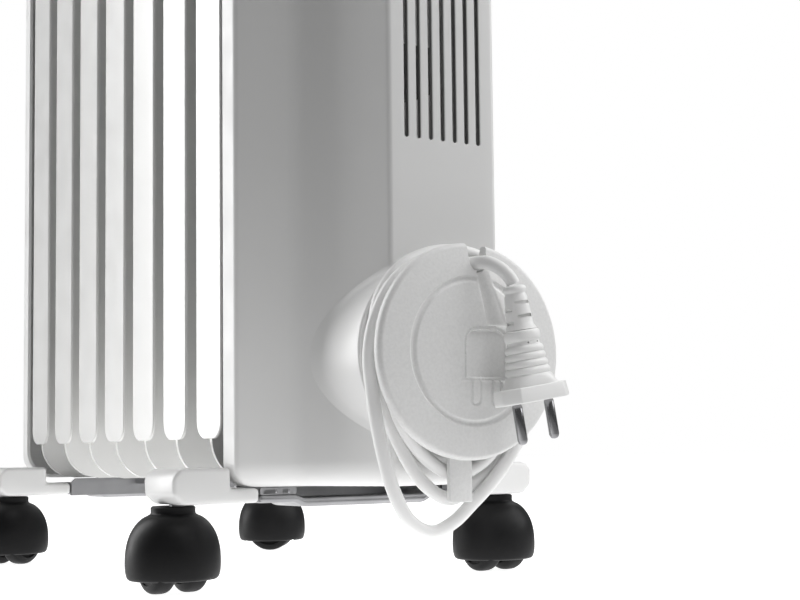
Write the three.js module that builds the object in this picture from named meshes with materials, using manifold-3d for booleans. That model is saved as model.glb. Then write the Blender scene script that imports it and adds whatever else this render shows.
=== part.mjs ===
// Oil filled radiator heater on four twin-wheel casters, with a cord winder on its control end.
// Millimetres, +Z up, floor at z = 0. The control end faces -Y and the object is centred on X.
import * as THREE from "three";
import { mergeVertices } from "three/addons/utils/BufferGeometryUtils.js";
import Module from "manifold-3d";

const wasm = await Module();
wasm.setup();

// ---------------------------------------------------------------- driving dimensions
const GAP = 0.3; // between pieces that touch
const FACE_Y = -211.9; // plane of the winder plate's rim; "ahead" distances are counted forward from it

const FIN = {
  count: 7,
  pitch: 43,
  firstAhead: -130,
  width: 150,
  bottom: 54.3,
  top: 606,
  sheet: 2.4,
  lip: 29,
  lipSheet: 1.6,
  corner: 22,
  channelWidth: 46,
  channelDepth: 19,
  hubRadius: 22,
  hubRise: 30,
  bore: 14,
};

const COVER = {
  bottom: 51.7,
  top: 614,
  wall: 2.5,
  rimAhead: -108,
  rimHalf: 77,
  sideAhead: -96,
  shoulderHalf: 73.5,
  shoulderAhead: -92,
  valleyHalf: 53,
  valleyAhead: -79,
  ridgeHalf: 32,
  ridgeAhead: -22,
  ridgeRound: 3,
  corner: 15,
  browLow: 582,
  browBackAhead: -74,
};

const VENT = { count: 7, pitch: 7, width: 2.3, bottom: 219.3, top: 345 };

const WINDER = {
  z: 115,
  plateRadius: 51.5,
  plateBack: -5,
  dome: 3.5,
  coreRadius: 32,
  coreWall: 3,
  footRadius: 50,
  footAhead: -20.5,
  notch: { left: -1.8, right: 8.4, bottom: 152.6 },
  tongue: { x: -3.6, width: 12.8, bottom: 44, top: 71, front: -5.3, thick: 3 },
  glandAngle: 215,
};

const CORD = { diameter: 6.6 };
const CORD_RADIUS = CORD.diameter / 2;

const PLUG = {
  top: [14.2, 14.6, 145.2],
  flange: [22, 16.5, 95],
  reliefLength: 21,
  length: 55,
  pinLength: 19,
  pinRadius: 2.4,
  pinSpacing: 19,
  face: { halfWidth: 20, halfDepth: 9.5, flatX: 13.2, flatY: 3.6 },
};

const PANEL = { half: 26, bottom: 398, top: 572, back: -21.7, thick: 3.2, corner: 9 };
const KNOB = { z: 532, radius: 21, height: 16, shaft: 3 };
const SWITCH = { half: 9.5, opening: 8.6, radius: 7.4, lowZ: 452, highZ: 424 };
const LENS = { z: 486, radius: 4 };

const CASTER = {
  x: 98,
  frontAhead: -116.5,
  rearAhead: -384.5,
  trail: 5,
  wheelRadius: 16,
  wheelWidth: 11,
  wheelOffset: 8.5,
  hoodRadius: 23.5,
  hoodBottom: 6.7,
  neckRadius: 11,
  neckTop: 43,
  axleRadius: 2.5,
  stemRadius: 4,
};
const REST_TURN = { front: 0, rear: -55 }; // how far each hood is swivelled at rest, degrees

const BRACKET = {
  top: 45.5,
  thick: 4.5,
  halfBar: 37,
  outside: 18,
  inside: { front: 16, rear: 11.5 },
  stripBottom: 43.5,
  stripTop: 47.5,
  shelfBottom: 49.6,
  shelfTop: 52.6,
};
const ARM = { inner: 62, step: 77.5, outer: 108, bottom: 43.8, shelf: 51.2, top: 61.5, front: -98, back: -135 };

const COLOUR = {
  white: [0.86, 0.86, 0.85],
  grey: [0.45, 0.46, 0.47],
  dark: [0.06, 0.06, 0.065],
  steel: [0.62, 0.62, 0.63],
};

// ---------------------------------------------------------------- helpers
const ahead = (a) => FACE_Y - a;

function solid(geometry) {
  const bare = geometry.index ? geometry.toNonIndexed() : geometry.clone();
  bare.deleteAttribute("normal");
  bare.deleteAttribute("uv");
  const merged = mergeVertices(bare, 1e-4);
  return new wasm.Manifold(
    new wasm.Mesh({
      numProp: 3,
      vertProperties: new Float32Array(merged.attributes.position.array),
      triVerts: new Uint32Array(merged.index.array),
    }),
  );
}

function geometryOf(body) {
  const mesh = body.getMesh();
  const positions = new Float32Array(mesh.numVert * 3);
  for (let i = 0; i < mesh.numVert; i++) {
    positions.set(mesh.vertProperties.subarray(i * mesh.numProp, i * mesh.numProp + 3), i * 3);
  }
  return new THREE.BufferGeometry()
    .setAttribute("position", new THREE.BufferAttribute(positions, 3))
    .setIndex(new THREE.BufferAttribute(mesh.triVerts, 1));
}

const material = (colour, roughness, metalness) =>
  new THREE.MeshStandardMaterial({ color: new THREE.Color(...colour), roughness, metalness });

const PLASTIC = material(COLOUR.white, 0.35, 0);
const ENAMEL = material(COLOUR.white, 0.3, 0);
const DARK = material(COLOUR.dark, 0.5, 0);
const GREY = material(COLOUR.grey, 0.45, 0);
const STEEL = material(COLOUR.steel, 0.3, 1);

const root = new THREE.Group();

function add(name, shape, look, parent = root) {
  const geometry = shape.isBufferGeometry ? shape : geometryOf(shape);
  const mesh = new THREE.Mesh(geometry, look);
  mesh.name = name;
  parent.add(mesh);
  return mesh;
}

// A box from its low and high corners.
function block([x0, y0, z0], [x1, y1, z1]) {
  const g = new THREE.BoxGeometry(x1 - x0, y1 - y0, z1 - z0);
  g.translate((x0 + x1) / 2, (y0 + y1) / 2, (z0 + z1) / 2);
  return solid(g);
}

// A box whose front and back are given as ahead distances, front first.
const slab = (x0, x1, front, back, z0, z1) => block([x0, ahead(front), z0], [x1, ahead(back), z1]);

// A turned solid: profile of [radius, height] pairs, its axis laid along x, y or z.
function turned(profile, axis, sides = 20) {
  const g = new THREE.LatheGeometry(profile.map(([r, h]) => new THREE.Vector2(r, h)), sides);
  if (axis === "x") g.rotateZ(-Math.PI / 2);
  if (axis === "z") g.rotateX(Math.PI / 2);
  return g;
}

// A plain rod between two values along an axis, through the point centre.
function rod(radius, from, to, axis, centre, sides = 16) {
  const g = turned([[0, from], [radius, from], [radius, to], [0, to]], axis, sides);
  g.translate(...centre);
  return solid(g);
}

// An outline in X and Z, extruded from the front ahead distance to the back one.
function frontView(shape, front, back, segments = 4) {
  const g = new THREE.ExtrudeGeometry(shape, {
    depth: front - back,
    bevelEnabled: false,
    curveSegments: segments,
  });
  g.rotateX(Math.PI / 2);
  g.translate(0, ahead(back), 0);
  return solid(g);
}

// An outline in X and Y, extruded upwards.
function planView(shape, z0, z1, segments = 4) {
  const g = new THREE.ExtrudeGeometry(shape, {
    depth: z1 - z0,
    bevelEnabled: false,
    curveSegments: segments,
  });
  g.translate(0, 0, z0);
  return solid(g);
}

// A rectangle with round corners; the low corners may have a radius of their own.
function roundedRect(x0, x1, z0, z1, radius, lowRadius = radius) {
  const s = new THREE.Shape();
  s.moveTo(x0 + lowRadius, z0);
  s.lineTo(x1 - lowRadius, z0);
  s.absarc(x1 - lowRadius, z0 + lowRadius, lowRadius, -Math.PI / 2, 0, false);
  s.lineTo(x1, z1 - radius);
  s.absarc(x1 - radius, z1 - radius, radius, 0, Math.PI / 2, false);
  s.lineTo(x0 + radius, z1);
  s.absarc(x0 + radius, z1 - radius, radius, Math.PI / 2, Math.PI, false);
  s.lineTo(x0, z0 + lowRadius);
  s.absarc(x0 + lowRadius, z0 + lowRadius, lowRadius, Math.PI, 1.5 * Math.PI, false);
  return s;
}

// A round tube along a curve through points.
function tube(points, radius, steps, sides) {
  const section = new THREE.Shape();
  for (let i = 0; i < sides; i++) {
    const angle = (2 * Math.PI * i) / sides;
    const x = radius * Math.cos(angle);
    const y = radius * Math.sin(angle);
    if (i === 0) section.moveTo(x, y);
    else section.lineTo(x, y);
  }
  section.closePath();
  return new THREE.ExtrudeGeometry(section, {
    steps,
    bevelEnabled: false,
    extrudePath: new THREE.CatmullRomCurve3(points, false, "centripetal"),
  });
}

// ---------------------------------------------------------------- radiator fins
// Each fin is a pressed sheet with a middle oil channel, folded side lips, and a hub at the top and the bottom.
function fin(index) {
  const mid = FIN.firstAhead - index * FIN.pitch;
  const half = FIN.width / 2;
  const sheet = frontView(
    roundedRect(-half, half, FIN.bottom, FIN.top, FIN.corner),
    mid + FIN.sheet / 2,
    mid - FIN.sheet / 2,
  );
  const channel = slab(
    -FIN.channelWidth / 2,
    FIN.channelWidth / 2,
    mid + FIN.channelDepth / 2,
    mid - FIN.channelDepth / 2,
    FIN.bottom + 6,
    FIN.top - 6,
  );
  let body = sheet.add(channel);
  for (const side of [-1, 1]) {
    const edge = side * (half - FIN.lipSheet / 2);
    body = body.add(
      slab(
        edge - FIN.lipSheet / 2,
        edge + FIN.lipSheet / 2,
        mid + FIN.lip / 2,
        mid - FIN.lip / 2,
        FIN.bottom + FIN.corner,
        FIN.top - FIN.corner,
      ),
    );
  }
  const reach = (FIN.pitch - GAP) / 2;
  for (const z of [FIN.bottom + FIN.hubRise, FIN.top - FIN.hubRise]) {
    body = body.add(rod(FIN.hubRadius, -reach, reach, "y", [0, ahead(mid), z]));
  }
  const blind = index === FIN.count - 1 ? 4 : -1; // the last hub is closed at the back
  const low = FIN.bottom + FIN.hubRise;
  return body.subtract(rod(FIN.bore, -reach - 1, reach - blind, "y", [0, ahead(mid), low]));
}

for (let i = 0; i < FIN.count; i++) add("fin_" + (i + 1), fin(i), ENAMEL);

const HUB_Z = FIN.bottom + FIN.hubRise;
const FINS_FRONT = FIN.firstAhead + FIN.pitch / 2;
const FINS_BACK = FIN.firstAhead - (FIN.count - 0.5) * FIN.pitch;

// ---------------------------------------------------------------- front cover
// The plan outline, shrunk by inset for the inside: rim, shoulder, valley, then the flat ridge.
function coverPlan(inset) {
  const c = COVER;
  const side = [
    [c.rimHalf - inset, c.rimAhead - (inset > 0 ? 1 : 0)],
    [c.rimHalf - inset, c.sideAhead],
    [c.shoulderHalf - inset, c.shoulderAhead - inset * 0.5],
    [c.valleyHalf - inset * 0.8, c.valleyAhead - inset],
    [c.valleyHalf - 4 - inset, c.valleyAhead + 6 - inset * 0.6],
    [c.ridgeHalf - inset, c.ridgeAhead - c.ridgeRound - inset],
    [c.ridgeHalf - c.ridgeRound - inset * 0.8, c.ridgeAhead - inset],
  ];
  const s = new THREE.Shape();
  side.forEach(([x, a], i) => (i ? s.lineTo(x, ahead(a)) : s.moveTo(x, ahead(a))));
  side.reverse().forEach(([x, a]) => s.lineTo(-x, ahead(a)));
  s.closePath();
  return s;
}

function coverBody(inset) {
  const c = COVER;
  const w = WINDER;
  const low = c.bottom + inset;
  const high = c.top - inset;
  const outline = roundedRect(
    -c.rimHalf + inset,
    c.rimHalf - inset,
    low,
    high,
    c.corner - inset,
  );
  const foot = rod(
    w.footRadius - inset,
    w.footAhead * -1 + inset,
    -c.rimAhead + (inset > 0 ? 1 : 0),
    "y",
    [0, FACE_Y, w.z],
    36,
  );
  return planView(coverPlan(inset), low, high)
    .intersect(frontView(outline, 0, c.rimAhead - 2))
    .add(foot);
}

// Everything above the sloping brow that runs from the ridge's front up to the cover's top.
function aboveBrow(inset) {
  const c = COVER;
  const s = new THREE.Shape();
  s.moveTo(ahead(c.ridgeAhead + 4), c.browLow - inset);
  s.lineTo(ahead(c.ridgeAhead - 14), c.browLow + 18 - inset);
  s.lineTo(ahead(c.browBackAhead), c.top - inset);
  s.lineTo(ahead(c.browBackAhead), c.top + 20);
  s.lineTo(ahead(c.ridgeAhead + 4), c.top + 20);
  s.closePath();
  const g = new THREE.ExtrudeGeometry(s, { depth: 200, bevelEnabled: false });
  g.applyMatrix4(new THREE.Matrix4().set(0, 0, 1, -100, 1, 0, 0, 0, 0, 1, 0, 0, 0, 0, 0, 1));
  return solid(g);
}

function frontCover() {
  const outside = coverBody(0).subtract(aboveBrow(0));
  const inside = coverBody(COVER.wall).subtract(aboveBrow(COVER.wall));
  let body = outside.subtract(inside);
  const through = [COVER.ridgeAhead + 3, COVER.ridgeAhead - 8];
  for (let i = 0; i < VENT.count; i++) {
    const x = (i - (VENT.count - 1) / 2) * VENT.pitch;
    const half = VENT.width / 2;
    body = body.subtract(slab(x - half, x + half, ...through, VENT.bottom, VENT.top));
  }
  body = body.subtract(rod(KNOB.shaft + 2, 15, 35, "y", [0, FACE_Y, KNOB.z], 16));
  body = body.subtract(rod(LENS.radius - 1, 15, 35, "y", [0, FACE_Y, LENS.z], 12));
  for (const z of [SWITCH.lowZ, SWITCH.highZ]) {
    const half = SWITCH.half + 0.6;
    body = body.subtract(slab(-half, half, ...through, z - SWITCH.opening, z + SWITCH.opening));
  }
  return body;
}
add("front_cover", frontCover(), PLASTIC);

// ---------------------------------------------------------------- controls
function controlPanel() {
  const p = PANEL;
  const front = p.back + p.thick;
  let plate = frontView(
    roundedRect(-p.half, p.half, p.bottom, p.top, p.corner),
    front,
    p.back,
  );
  plate = plate.subtract(rod(KNOB.shaft + 1, 10, 30, "y", [0, FACE_Y, KNOB.z], 16));
  plate = plate.subtract(rod(LENS.radius + GAP, 10, 30, "y", [0, FACE_Y, LENS.z], 16));
  for (const z of [SWITCH.lowZ, SWITCH.highZ]) {
    const half = SWITCH.half + 0.6;
    plate = plate.subtract(slab(-half, half, front + 1, p.back - 1, z - SWITCH.opening, z + SWITCH.opening));
  }
  return plate;
}
add("control_panel", controlPanel(), GREY);

function thermostatKnob() {
  const back = -(PANEL.back + PANEL.thick) - GAP;
  const front = back - KNOB.height;
  const skirt = turned(
    [
      [0, front],
      [KNOB.radius - 4, front],
      [KNOB.radius - 2, front + 2],
      [KNOB.radius, back],
      [KNOB.shaft, back],
      [KNOB.shaft, back + 26],
      [0, back + 26],
    ],
    "y",
    32,
  );
  skirt.translate(0, FACE_Y, KNOB.z);
  const grip = block(
    [-3, FACE_Y + front - 3.5, KNOB.z - KNOB.radius + 4],
    [3, FACE_Y + front + 2, KNOB.z + KNOB.radius - 4],
  );
  return solid(skirt).add(grip);
}
add("thermostat_knob", thermostatKnob(), PLASTIC);

// A rocker's side view: a round back about its pin and a shallow V-shaped front.
function rocker(z) {
  const s = new THREE.Shape();
  const pinAhead = -24;
  const r = SWITCH.radius;
  const tilt = THREE.MathUtils.degToRad(-7);
  const corners = [
    [r, 5],
    [0, 3.2],
    [-r, 5],
  ];
  s.moveTo(...spin(r, 1, tilt));
  for (const [up, out] of corners) s.lineTo(...spin(up, out, tilt));
  s.lineTo(...spin(-r, 1, tilt));
  for (let i = 1; i < 8; i++) {
    const angle = Math.PI + (Math.PI * i) / 8;
    s.lineTo(...spin(r * Math.cos(angle), r * 0.9 * Math.sin(angle) + 1, tilt));
  }
  s.closePath();
  const g = new THREE.ExtrudeGeometry(s, { depth: 2 * SWITCH.half, bevelEnabled: false });
  // outline x is up, y is forward: lay it on Z and -Y
  const lay = new THREE.Matrix4();
  lay.set(0, 0, 1, -SWITCH.half, 0, -1, 0, ahead(pinAhead), 1, 0, 0, z, 0, 0, 0, 1);
  g.applyMatrix4(lay);
  return solid(g);
}

function spin(up, out, angle) {
  return [up * Math.cos(angle) - out * Math.sin(angle), up * Math.sin(angle) + out * Math.cos(angle)];
}
add("heat_switch_low", rocker(SWITCH.lowZ), PLASTIC);
add("heat_switch_high", rocker(SWITCH.highZ), PLASTIC);

function pilotLens() {
  const back = -(PANEL.back + PANEL.thick) + 2.6;
  const g = turned(
    [[0, back - 5], [2.2, back - 4.6], [LENS.radius - 0.3, back - 3.4], [LENS.radius - 0.3, back], [0, back]],
    "y",
    16,
  );
  g.translate(0, FACE_Y, LENS.z);
  return solid(g);
}
add("pilot_lens", pilotLens(), material([0.8, 0.25, 0.1], 0.2, 0));

// Behind the panel: thermostat, overheat cutout, tilt switch and terminals.
const housingBack = COVER.ridgeAhead - COVER.wall - GAP;
add(
  "thermostat_body",
  slab(-18, 18, housingBack - 4, housingBack - 24, KNOB.z - 18, KNOB.z + 18).subtract(
    rod(KNOB.shaft + GAP, 20, 60, "y", [0, FACE_Y, KNOB.z], 16),
  ),
  GREY,
);
add("terminal_block", slab(-20, 20, -62, -78, 168, 184), GREY);
add("tilt_switch", slab(-12, 12, -50, -72, 250, 274), DARK);
add("thermal_cutout", rod(9, -FINS_FRONT - 12, -FINS_FRONT - GAP, "y", [30, FACE_Y, 230], 16), STEEL);

// ---------------------------------------------------------------- heating element
function heatingElement() {
  const rise = 7.5;
  const backEnd = FINS_BACK + 16;
  const points = [
    [-rise, FINS_FRONT + 4],
    [-rise, -250],
    [-rise, backEnd + 9],
    [-rise * 0.72, backEnd + 2.6],
    [0, backEnd],
    [rise * 0.72, backEnd + 2.6],
    [rise, backEnd + 9],
    [rise, -250],
    [rise, FINS_FRONT + 4],
  ].map(([x, a]) => new THREE.Vector3(x, ahead(a), HUB_Z));
  const flange = rod(19, -FINS_FRONT - 6, -FINS_FRONT - GAP, "y", [0, FACE_Y, HUB_Z]);
  return solid(tube(points, 4, 22, 8)).add(flange);
}
add("heating_element", heatingElement(), STEEL);

// ---------------------------------------------------------------- rear cover
function rearCover() {
  const front = FINS_BACK - GAP;
  const back = front - 17.5;
  const shell = (inset) => {
    const s = new THREE.Shape();
    const half = 76 - inset;
    s.moveTo(half, ahead(front + (inset > 0 ? 1 : 0)));
    s.lineTo(half, ahead(back + 9));
    s.lineTo(half - 6, ahead(back + 4 + inset));
    s.lineTo(half - 24, ahead(back + inset));
    s.lineTo(-half + 24, ahead(back + inset));
    s.lineTo(-half + 6, ahead(back + 4 + inset));
    s.lineTo(-half, ahead(back + 9));
    s.lineTo(-half, ahead(front + (inset > 0 ? 1 : 0)));
    s.closePath();
    const outline = roundedRect(-half, half, FIN.bottom + inset, FIN.top - inset, 18 - inset);
    return planView(s, FIN.bottom + inset, FIN.top - inset).intersect(frontView(outline, front + 3, back - 3));
  };
  return shell(0).subtract(shell(2));
}
add("rear_cover", rearCover(), PLASTIC);

// ---------------------------------------------------------------- handle
function handle() {
  const front = FINS_FRONT - 3;
  const back = front - 34;
  const base = FIN.top + GAP;
  const outer = roundedRect(-64, 64, base, base + 42, 16, 3);
  const inner = roundedRect(-46, 46, base + 7, base + 31, 9);
  return frontView(outer, front, back).subtract(frontView(inner, front + 2, back - 2));
}
add("handle", handle(), PLASTIC);

// ---------------------------------------------------------------- cord winder
function winderCore() {
  const w = WINDER;
  const front = -w.plateBack + GAP;
  const back = -w.footAhead - GAP;
  const drum = turned(
    [
      [0, front],
      [w.coreRadius, front],
      [w.coreRadius, back],
      [w.coreRadius - w.coreWall, back],
      [w.coreRadius - w.coreWall, front + 3],
      [0, front + 3],
    ],
    "y",
    32,
  );
  drum.translate(0, FACE_Y, w.z);
  const slot = glandBlock(w.coreRadius - w.coreWall - 2, w.coreRadius + 2, GAP);
  return solid(drum).subtract(slot);
}

// The gland sits in a window of the drum's wall: a block between two radii at the gland's angle.
function glandBlock(inner, outer, spare) {
  const half = 8 + spare;
  const g = new THREE.BoxGeometry(2 * half, 7.4 + 2 * spare, outer - inner);
  g.translate(0, ahead(WINDER.footAhead) - 4.4, (inner + outer) / 2);
  g.rotateY(THREE.MathUtils.degToRad(WINDER.glandAngle));
  g.translate(0, 0, WINDER.z);
  return solid(g);
}
add("winder_core", winderCore(), PLASTIC);
add("cord_gland", glandBlock(WINDER.coreRadius - 7, WINDER.coreRadius - 1.2, 0), DARK);

// A round domed plate with a notch at its top, a cord channel below the notch, and a recess for the plug's body.
function winderPlate() {
  const w = WINDER;
  const r = w.plateRadius;
  const g = turned(
    [
      [0, -w.dome],
      [r * 0.35, -w.dome + 0.4],
      [r * 0.7, -w.dome + 1.5],
      [r - 3, -0.6],
      [r - 0.8, 0.8],
      [r, 2.6],
      [r - 0.6, -w.plateBack],
      [0, -w.plateBack],
    ],
    "y",
    44,
  );
  g.translate(0, FACE_Y, w.z);
  const notch = slab(w.notch.left, w.notch.right, 10, -10, w.notch.bottom, 200);
  const channel = slab(w.notch.left + 1, w.notch.right - 1, 10, 1, w.z + 12, w.notch.bottom + 1);
  const recess = frontView(roundedRect(-6.5, 16.5, w.z - 11, w.z + 11.5, 5, 1), 10, 1);
  return solid(g).subtract(notch).subtract(channel).subtract(recess);
}
add("winder_plate", winderPlate(), PLASTIC);

const tongue = WINDER.tongue;
add(
  "cord_tongue",
  frontView(
    roundedRect(tongue.x - tongue.width / 2, tongue.x + tongue.width / 2, tongue.bottom, tongue.top, 1.5),
    tongue.front,
    tongue.front - tongue.thick,
    3,
  ),
  PLASTIC,
);

// ---------------------------------------------------------------- mains cord
// The inner turns on the drum are one ring. The rest is a tube: turn after turn in the groove, each hanging
// lower below the plate, and then out through the notch to the plug. Angles run clockwise from the top, as
// seen from the front.
function cordCoil() {
  const inner = WINDER.coreRadius + GAP;
  const outer = inner + CORD.diameter - 0.5;
  const front = -WINDER.plateBack + 0.6;
  const back = -WINDER.footAhead - 0.6;
  const g = turned([[inner, front], [outer, front], [outer, back], [inner, back], [inner, front]], "y", 36);
  g.translate(0, FACE_Y, WINDER.z);
  return solid(g);
}
add("cord_coil", cordCoil(), PLASTIC);

// [angle, radius, ahead]
const WOUND = [
  [100, 42.8, -9.2],
  [120, 43, -9.2],
  [145, 45.5, -9.6],
  [165, 53.5, -11.6],
  [182, 57.8, -12.2],
  [200, 53.8, -11.6],
  [222, 48.2, -9.8],
  [248, 43.6, -9.2],
  [275, 42.8, -9.2],
  [298, 42.8, -10.2],
  [318, 42.8, -12.4],
  [340, 42.8, -15],
  [360, 42.8, -16.6],
  [395, 42.8, -16.6],
  [430, 42.8, -16.6],
  [465, 43.2, -16.6],
  [485, 47, -16.6],
  [500, 53.6, -17],
  [515, 59.8, -18],
  [529, 64.2, -18],
  [537, 68, -16.6],
  [545, 69.6, -14.8],
  [557, 64.6, -14.6],
  [567, 58.4, -15],
  [582, 50.6, -16],
  [600, 45.2, -16.6],
  [620, 43, -16.6],
  [635, 43.4, -16.6],
  [650, 45.8, -16.6],
  [665, 48.2, -16.4],
  [682, 49.4, -16],
  [700, 49.4, -15.6],
  [720, 49.4, -15],
  [740, 49.2, -13.8],
  [775, 49, -12.8],
  [815, 49, -12.6],
  [848, 51.8, -12.2],
  [868, 57.4, -12],
  [884, 65.2, -12],
  [894, 72, -12],
  [903, 80.8, -12.2],
  [911, 86.2, -12.2],
  [920, 83.6, -12.2],
  [929, 75.2, -12.2],
  [940, 65, -12.2],
  [954, 56.2, -12.4],
  [970, 50.8, -12.6],
  [988, 49.6, -11.6],
  [1006, 49.4, -9.8],
  [1026, 49.2, -9.2],
  [1046, 48.2, -9.2],
  [1060, 46.4, -9.2],
  [1069, 44.8, -9.1],
];
// [x, ahead, z]
const LEAD_OUT = [
  [-3.6, -9, 158],
  [-0.7, -8.5, 157.6],
  [1.7, -6.9, 157.4],
  [3.3, -4.5, 157.3],
  [4, -1.6, 157.3],
  [4.5, 1.8, 157.2],
  [5.4, 5.2, 156.8],
  [7, 8.4, 155.6],
  [9.1, 11.1, 153.6],
  [11.3, 13, 151],
  [13, 14.1, 148.4],
  [14, 14.5, 146.2],
];

function cordRoute() {
  const route = WOUND.map(([degrees, radius, a]) => {
    const angle = THREE.MathUtils.degToRad(degrees);
    return new THREE.Vector3(radius * Math.sin(angle), ahead(a), WINDER.z + radius * Math.cos(angle));
  });
  for (const [x, a, z] of LEAD_OUT) route.push(new THREE.Vector3(x, ahead(a), z));
  return route;
}
add("cord_lead", tube(cordRoute(), CORD_RADIUS, 84, 8), PLASTIC);

// ---------------------------------------------------------------- plug
// Local frame: the axis runs down -Z from the top of the strain relief, X across the two pins.
const plug = new THREE.Group();
const plugTop = new THREE.Vector3(PLUG.top[0], ahead(PLUG.top[1]), PLUG.top[2]);
const plugFlange = new THREE.Vector3(PLUG.flange[0], ahead(PLUG.flange[1]), PLUG.flange[2]);
plug.position.copy(plugTop);
plug.quaternion.setFromUnitVectors(
  new THREE.Vector3(0, 0, -1),
  plugFlange.clone().sub(plugTop).normalize(),
);
root.add(plug);

const relief = turned(
  [
    [0, -PLUG.reliefLength],
    [7.6, -PLUG.reliefLength],
    [6.2, -6],
    [5.4, -4.5],
    [5.6, -1.2],
    [4.6, 0],
    [0, 0],
  ],
  "z",
  16,
);
add("plug_relief", relief, PLASTIC, plug);

function plugBody() {
  const top = -PLUG.reliefLength - GAP;
  const bottom = -PLUG.length;
  const grip = solid(
    turned([[0, -46], [11, -46], [8.6, top - 6], [8.2, top], [0, top]], "z", 20),
  );
  const cone = new THREE.Shape();
  cone.moveTo(-10, -44);
  cone.lineTo(-14.5, bottom + 6);
  cone.lineTo(14.5, bottom + 6);
  cone.lineTo(10, -44);
  cone.closePath();
  const coneBody = new THREE.ExtrudeGeometry(cone, { depth: 15, bevelEnabled: false });
  coneBody.rotateX(Math.PI / 2);
  coneBody.translate(0, 7.5, 0);
  const face = new THREE.Shape();
  const { halfWidth, halfDepth, flatX, flatY } = PLUG.face;
  [
    [halfWidth, flatY],
    [flatX, halfDepth],
    [-flatX, halfDepth],
    [-halfWidth, flatY],
    [-halfWidth, -flatY],
    [-flatX, -halfDepth],
    [flatX, -halfDepth],
    [halfWidth, -flatY],
  ].forEach(([x, y], i) => (i ? face.lineTo(x, y) : face.moveTo(x, y)));
  const flange = new THREE.ExtrudeGeometry(face, { depth: 7.3, bevelEnabled: false });
  flange.translate(0, 0, bottom);
  return grip.add(solid(coneBody)).add(solid(flange));
}
add("plug_body", plugBody(), PLASTIC, plug);

for (const [name, side] of [["plug_pin_left", -1], ["plug_pin_right", 1]]) {
  const from = -PLUG.length - GAP;
  const to = from - PLUG.pinLength;
  const pin = turned(
    [[0, to], [1.4, to + 0.4], [PLUG.pinRadius, to + 2], [PLUG.pinRadius, from], [0, from]],
    "z",
    12,
  );
  pin.translate((side * PLUG.pinSpacing) / 2, 0, 0);
  add(name, pin, STEEL, plug);
}

// ---------------------------------------------------------------- casters and their brackets
// A strap under the end fin. Its middle bar is lower, its ends step up to the two plastic arms, an upright
// flange carries the fin, and a shelf runs in from the flange to the hook bolt. outward is 1 at the control
// end and -1 at the back.
function bracket(stemAhead, hubAhead, finAhead, outward) {
  const b = BRACKET;
  const low = b.top - b.thick;
  const outer = stemAhead + outward * b.outside;
  const inner = stemAhead - outward * (outward > 0 ? b.inside.front : b.inside.rear);
  const between = (x0, x1, a0, a1, z0, z1) => slab(x0, x1, Math.max(a0, a1), Math.min(a0, a1), z0, z1);
  let body = between(-b.halfBar, b.halfBar, outer, inner, low, b.top);
  body = body.add(between(-16, 34, finAhead, hubAhead - outward * 10.5, b.shelfBottom, b.shelfTop));
  body = body.add(between(-60, 60, finAhead - 1.2, finAhead + 1.2, low + 2, FIN.bottom - GAP));
  for (const side of [-1, 1]) {
    const ends = [side * (b.halfBar - 4), side * (ARM.inner - GAP)].sort((p, q) => p - q);
    body = body.add(between(ends[0], ends[1], outer, inner, b.stripBottom, b.stripTop));
  }
  return body.subtract(rod(3.6, 30, 60, "z", [FIN.hubRadius + 4, ahead(hubAhead), 0], 16));
}

// A hook that goes round the oil hub behind the end fin and is pulled down by a wing nut.
function hookBolt(hubAhead) {
  const reach = FIN.hubRadius + 4;
  const points = [new THREE.Vector3(reach, ahead(hubAhead), 42), new THREE.Vector3(reach, ahead(hubAhead), 62)];
  for (let i = 0; i <= 6; i++) {
    const angle = (Math.PI * i) / 6;
    points.push(
      new THREE.Vector3(reach * Math.cos(angle), ahead(hubAhead), HUB_Z + reach * Math.sin(angle)),
    );
  }
  points.push(new THREE.Vector3(-reach, ahead(hubAhead), HUB_Z - 10));
  return tube(points, 3, 18, 8);
}

function wingNut(hubAhead) {
  const x = FIN.hubRadius + 4;
  const top = BRACKET.shelfBottom - GAP;
  const nut = rod(5.5, top - 6, top, "z", [x, ahead(hubAhead), 0], 12).add(
    block([x - 13, ahead(hubAhead) - 1.5, top - 7], [x + 13, ahead(hubAhead) + 1.5, top - 1]),
  );
  return nut.subtract(rod(3.4, 10, 60, "z", [x, ahead(hubAhead), 0], 12));
}

// A plastic arm: a thin shelf under the end cover's corner, and a block beside it that holds the stem.
function casterArm(side, stemAhead) {
  const shift = stemAhead - CASTER.frontAhead;
  const front = ARM.front + shift;
  const back = ARM.back + shift;
  const ends = [side * ARM.inner, side * ARM.outer].sort((a, b) => a - b);
  const plan = roundedRect(ends[0], ends[1], ahead(front), ahead(back), 7);
  const outline = new THREE.Shape();
  outline.moveTo(side * (ARM.inner - 1), ARM.bottom);
  outline.lineTo(side * (ARM.outer + 1), ARM.bottom);
  outline.lineTo(side * (ARM.outer + 1), ARM.top);
  outline.lineTo(side * ARM.step, ARM.top);
  outline.lineTo(side * ARM.step, ARM.shelf);
  outline.lineTo(side * (ARM.inner - 1), ARM.shelf);
  outline.closePath();
  const socket = rod(CASTER.stemRadius + GAP, 30, ARM.top - 4, "z", [side * CASTER.x, ahead(stemAhead), 0], 16);
  return planView(plan, ARM.bottom, ARM.top, 4)
    .intersect(frontView(outline, front + 1, back - 1))
    .subtract(socket);
}

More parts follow.
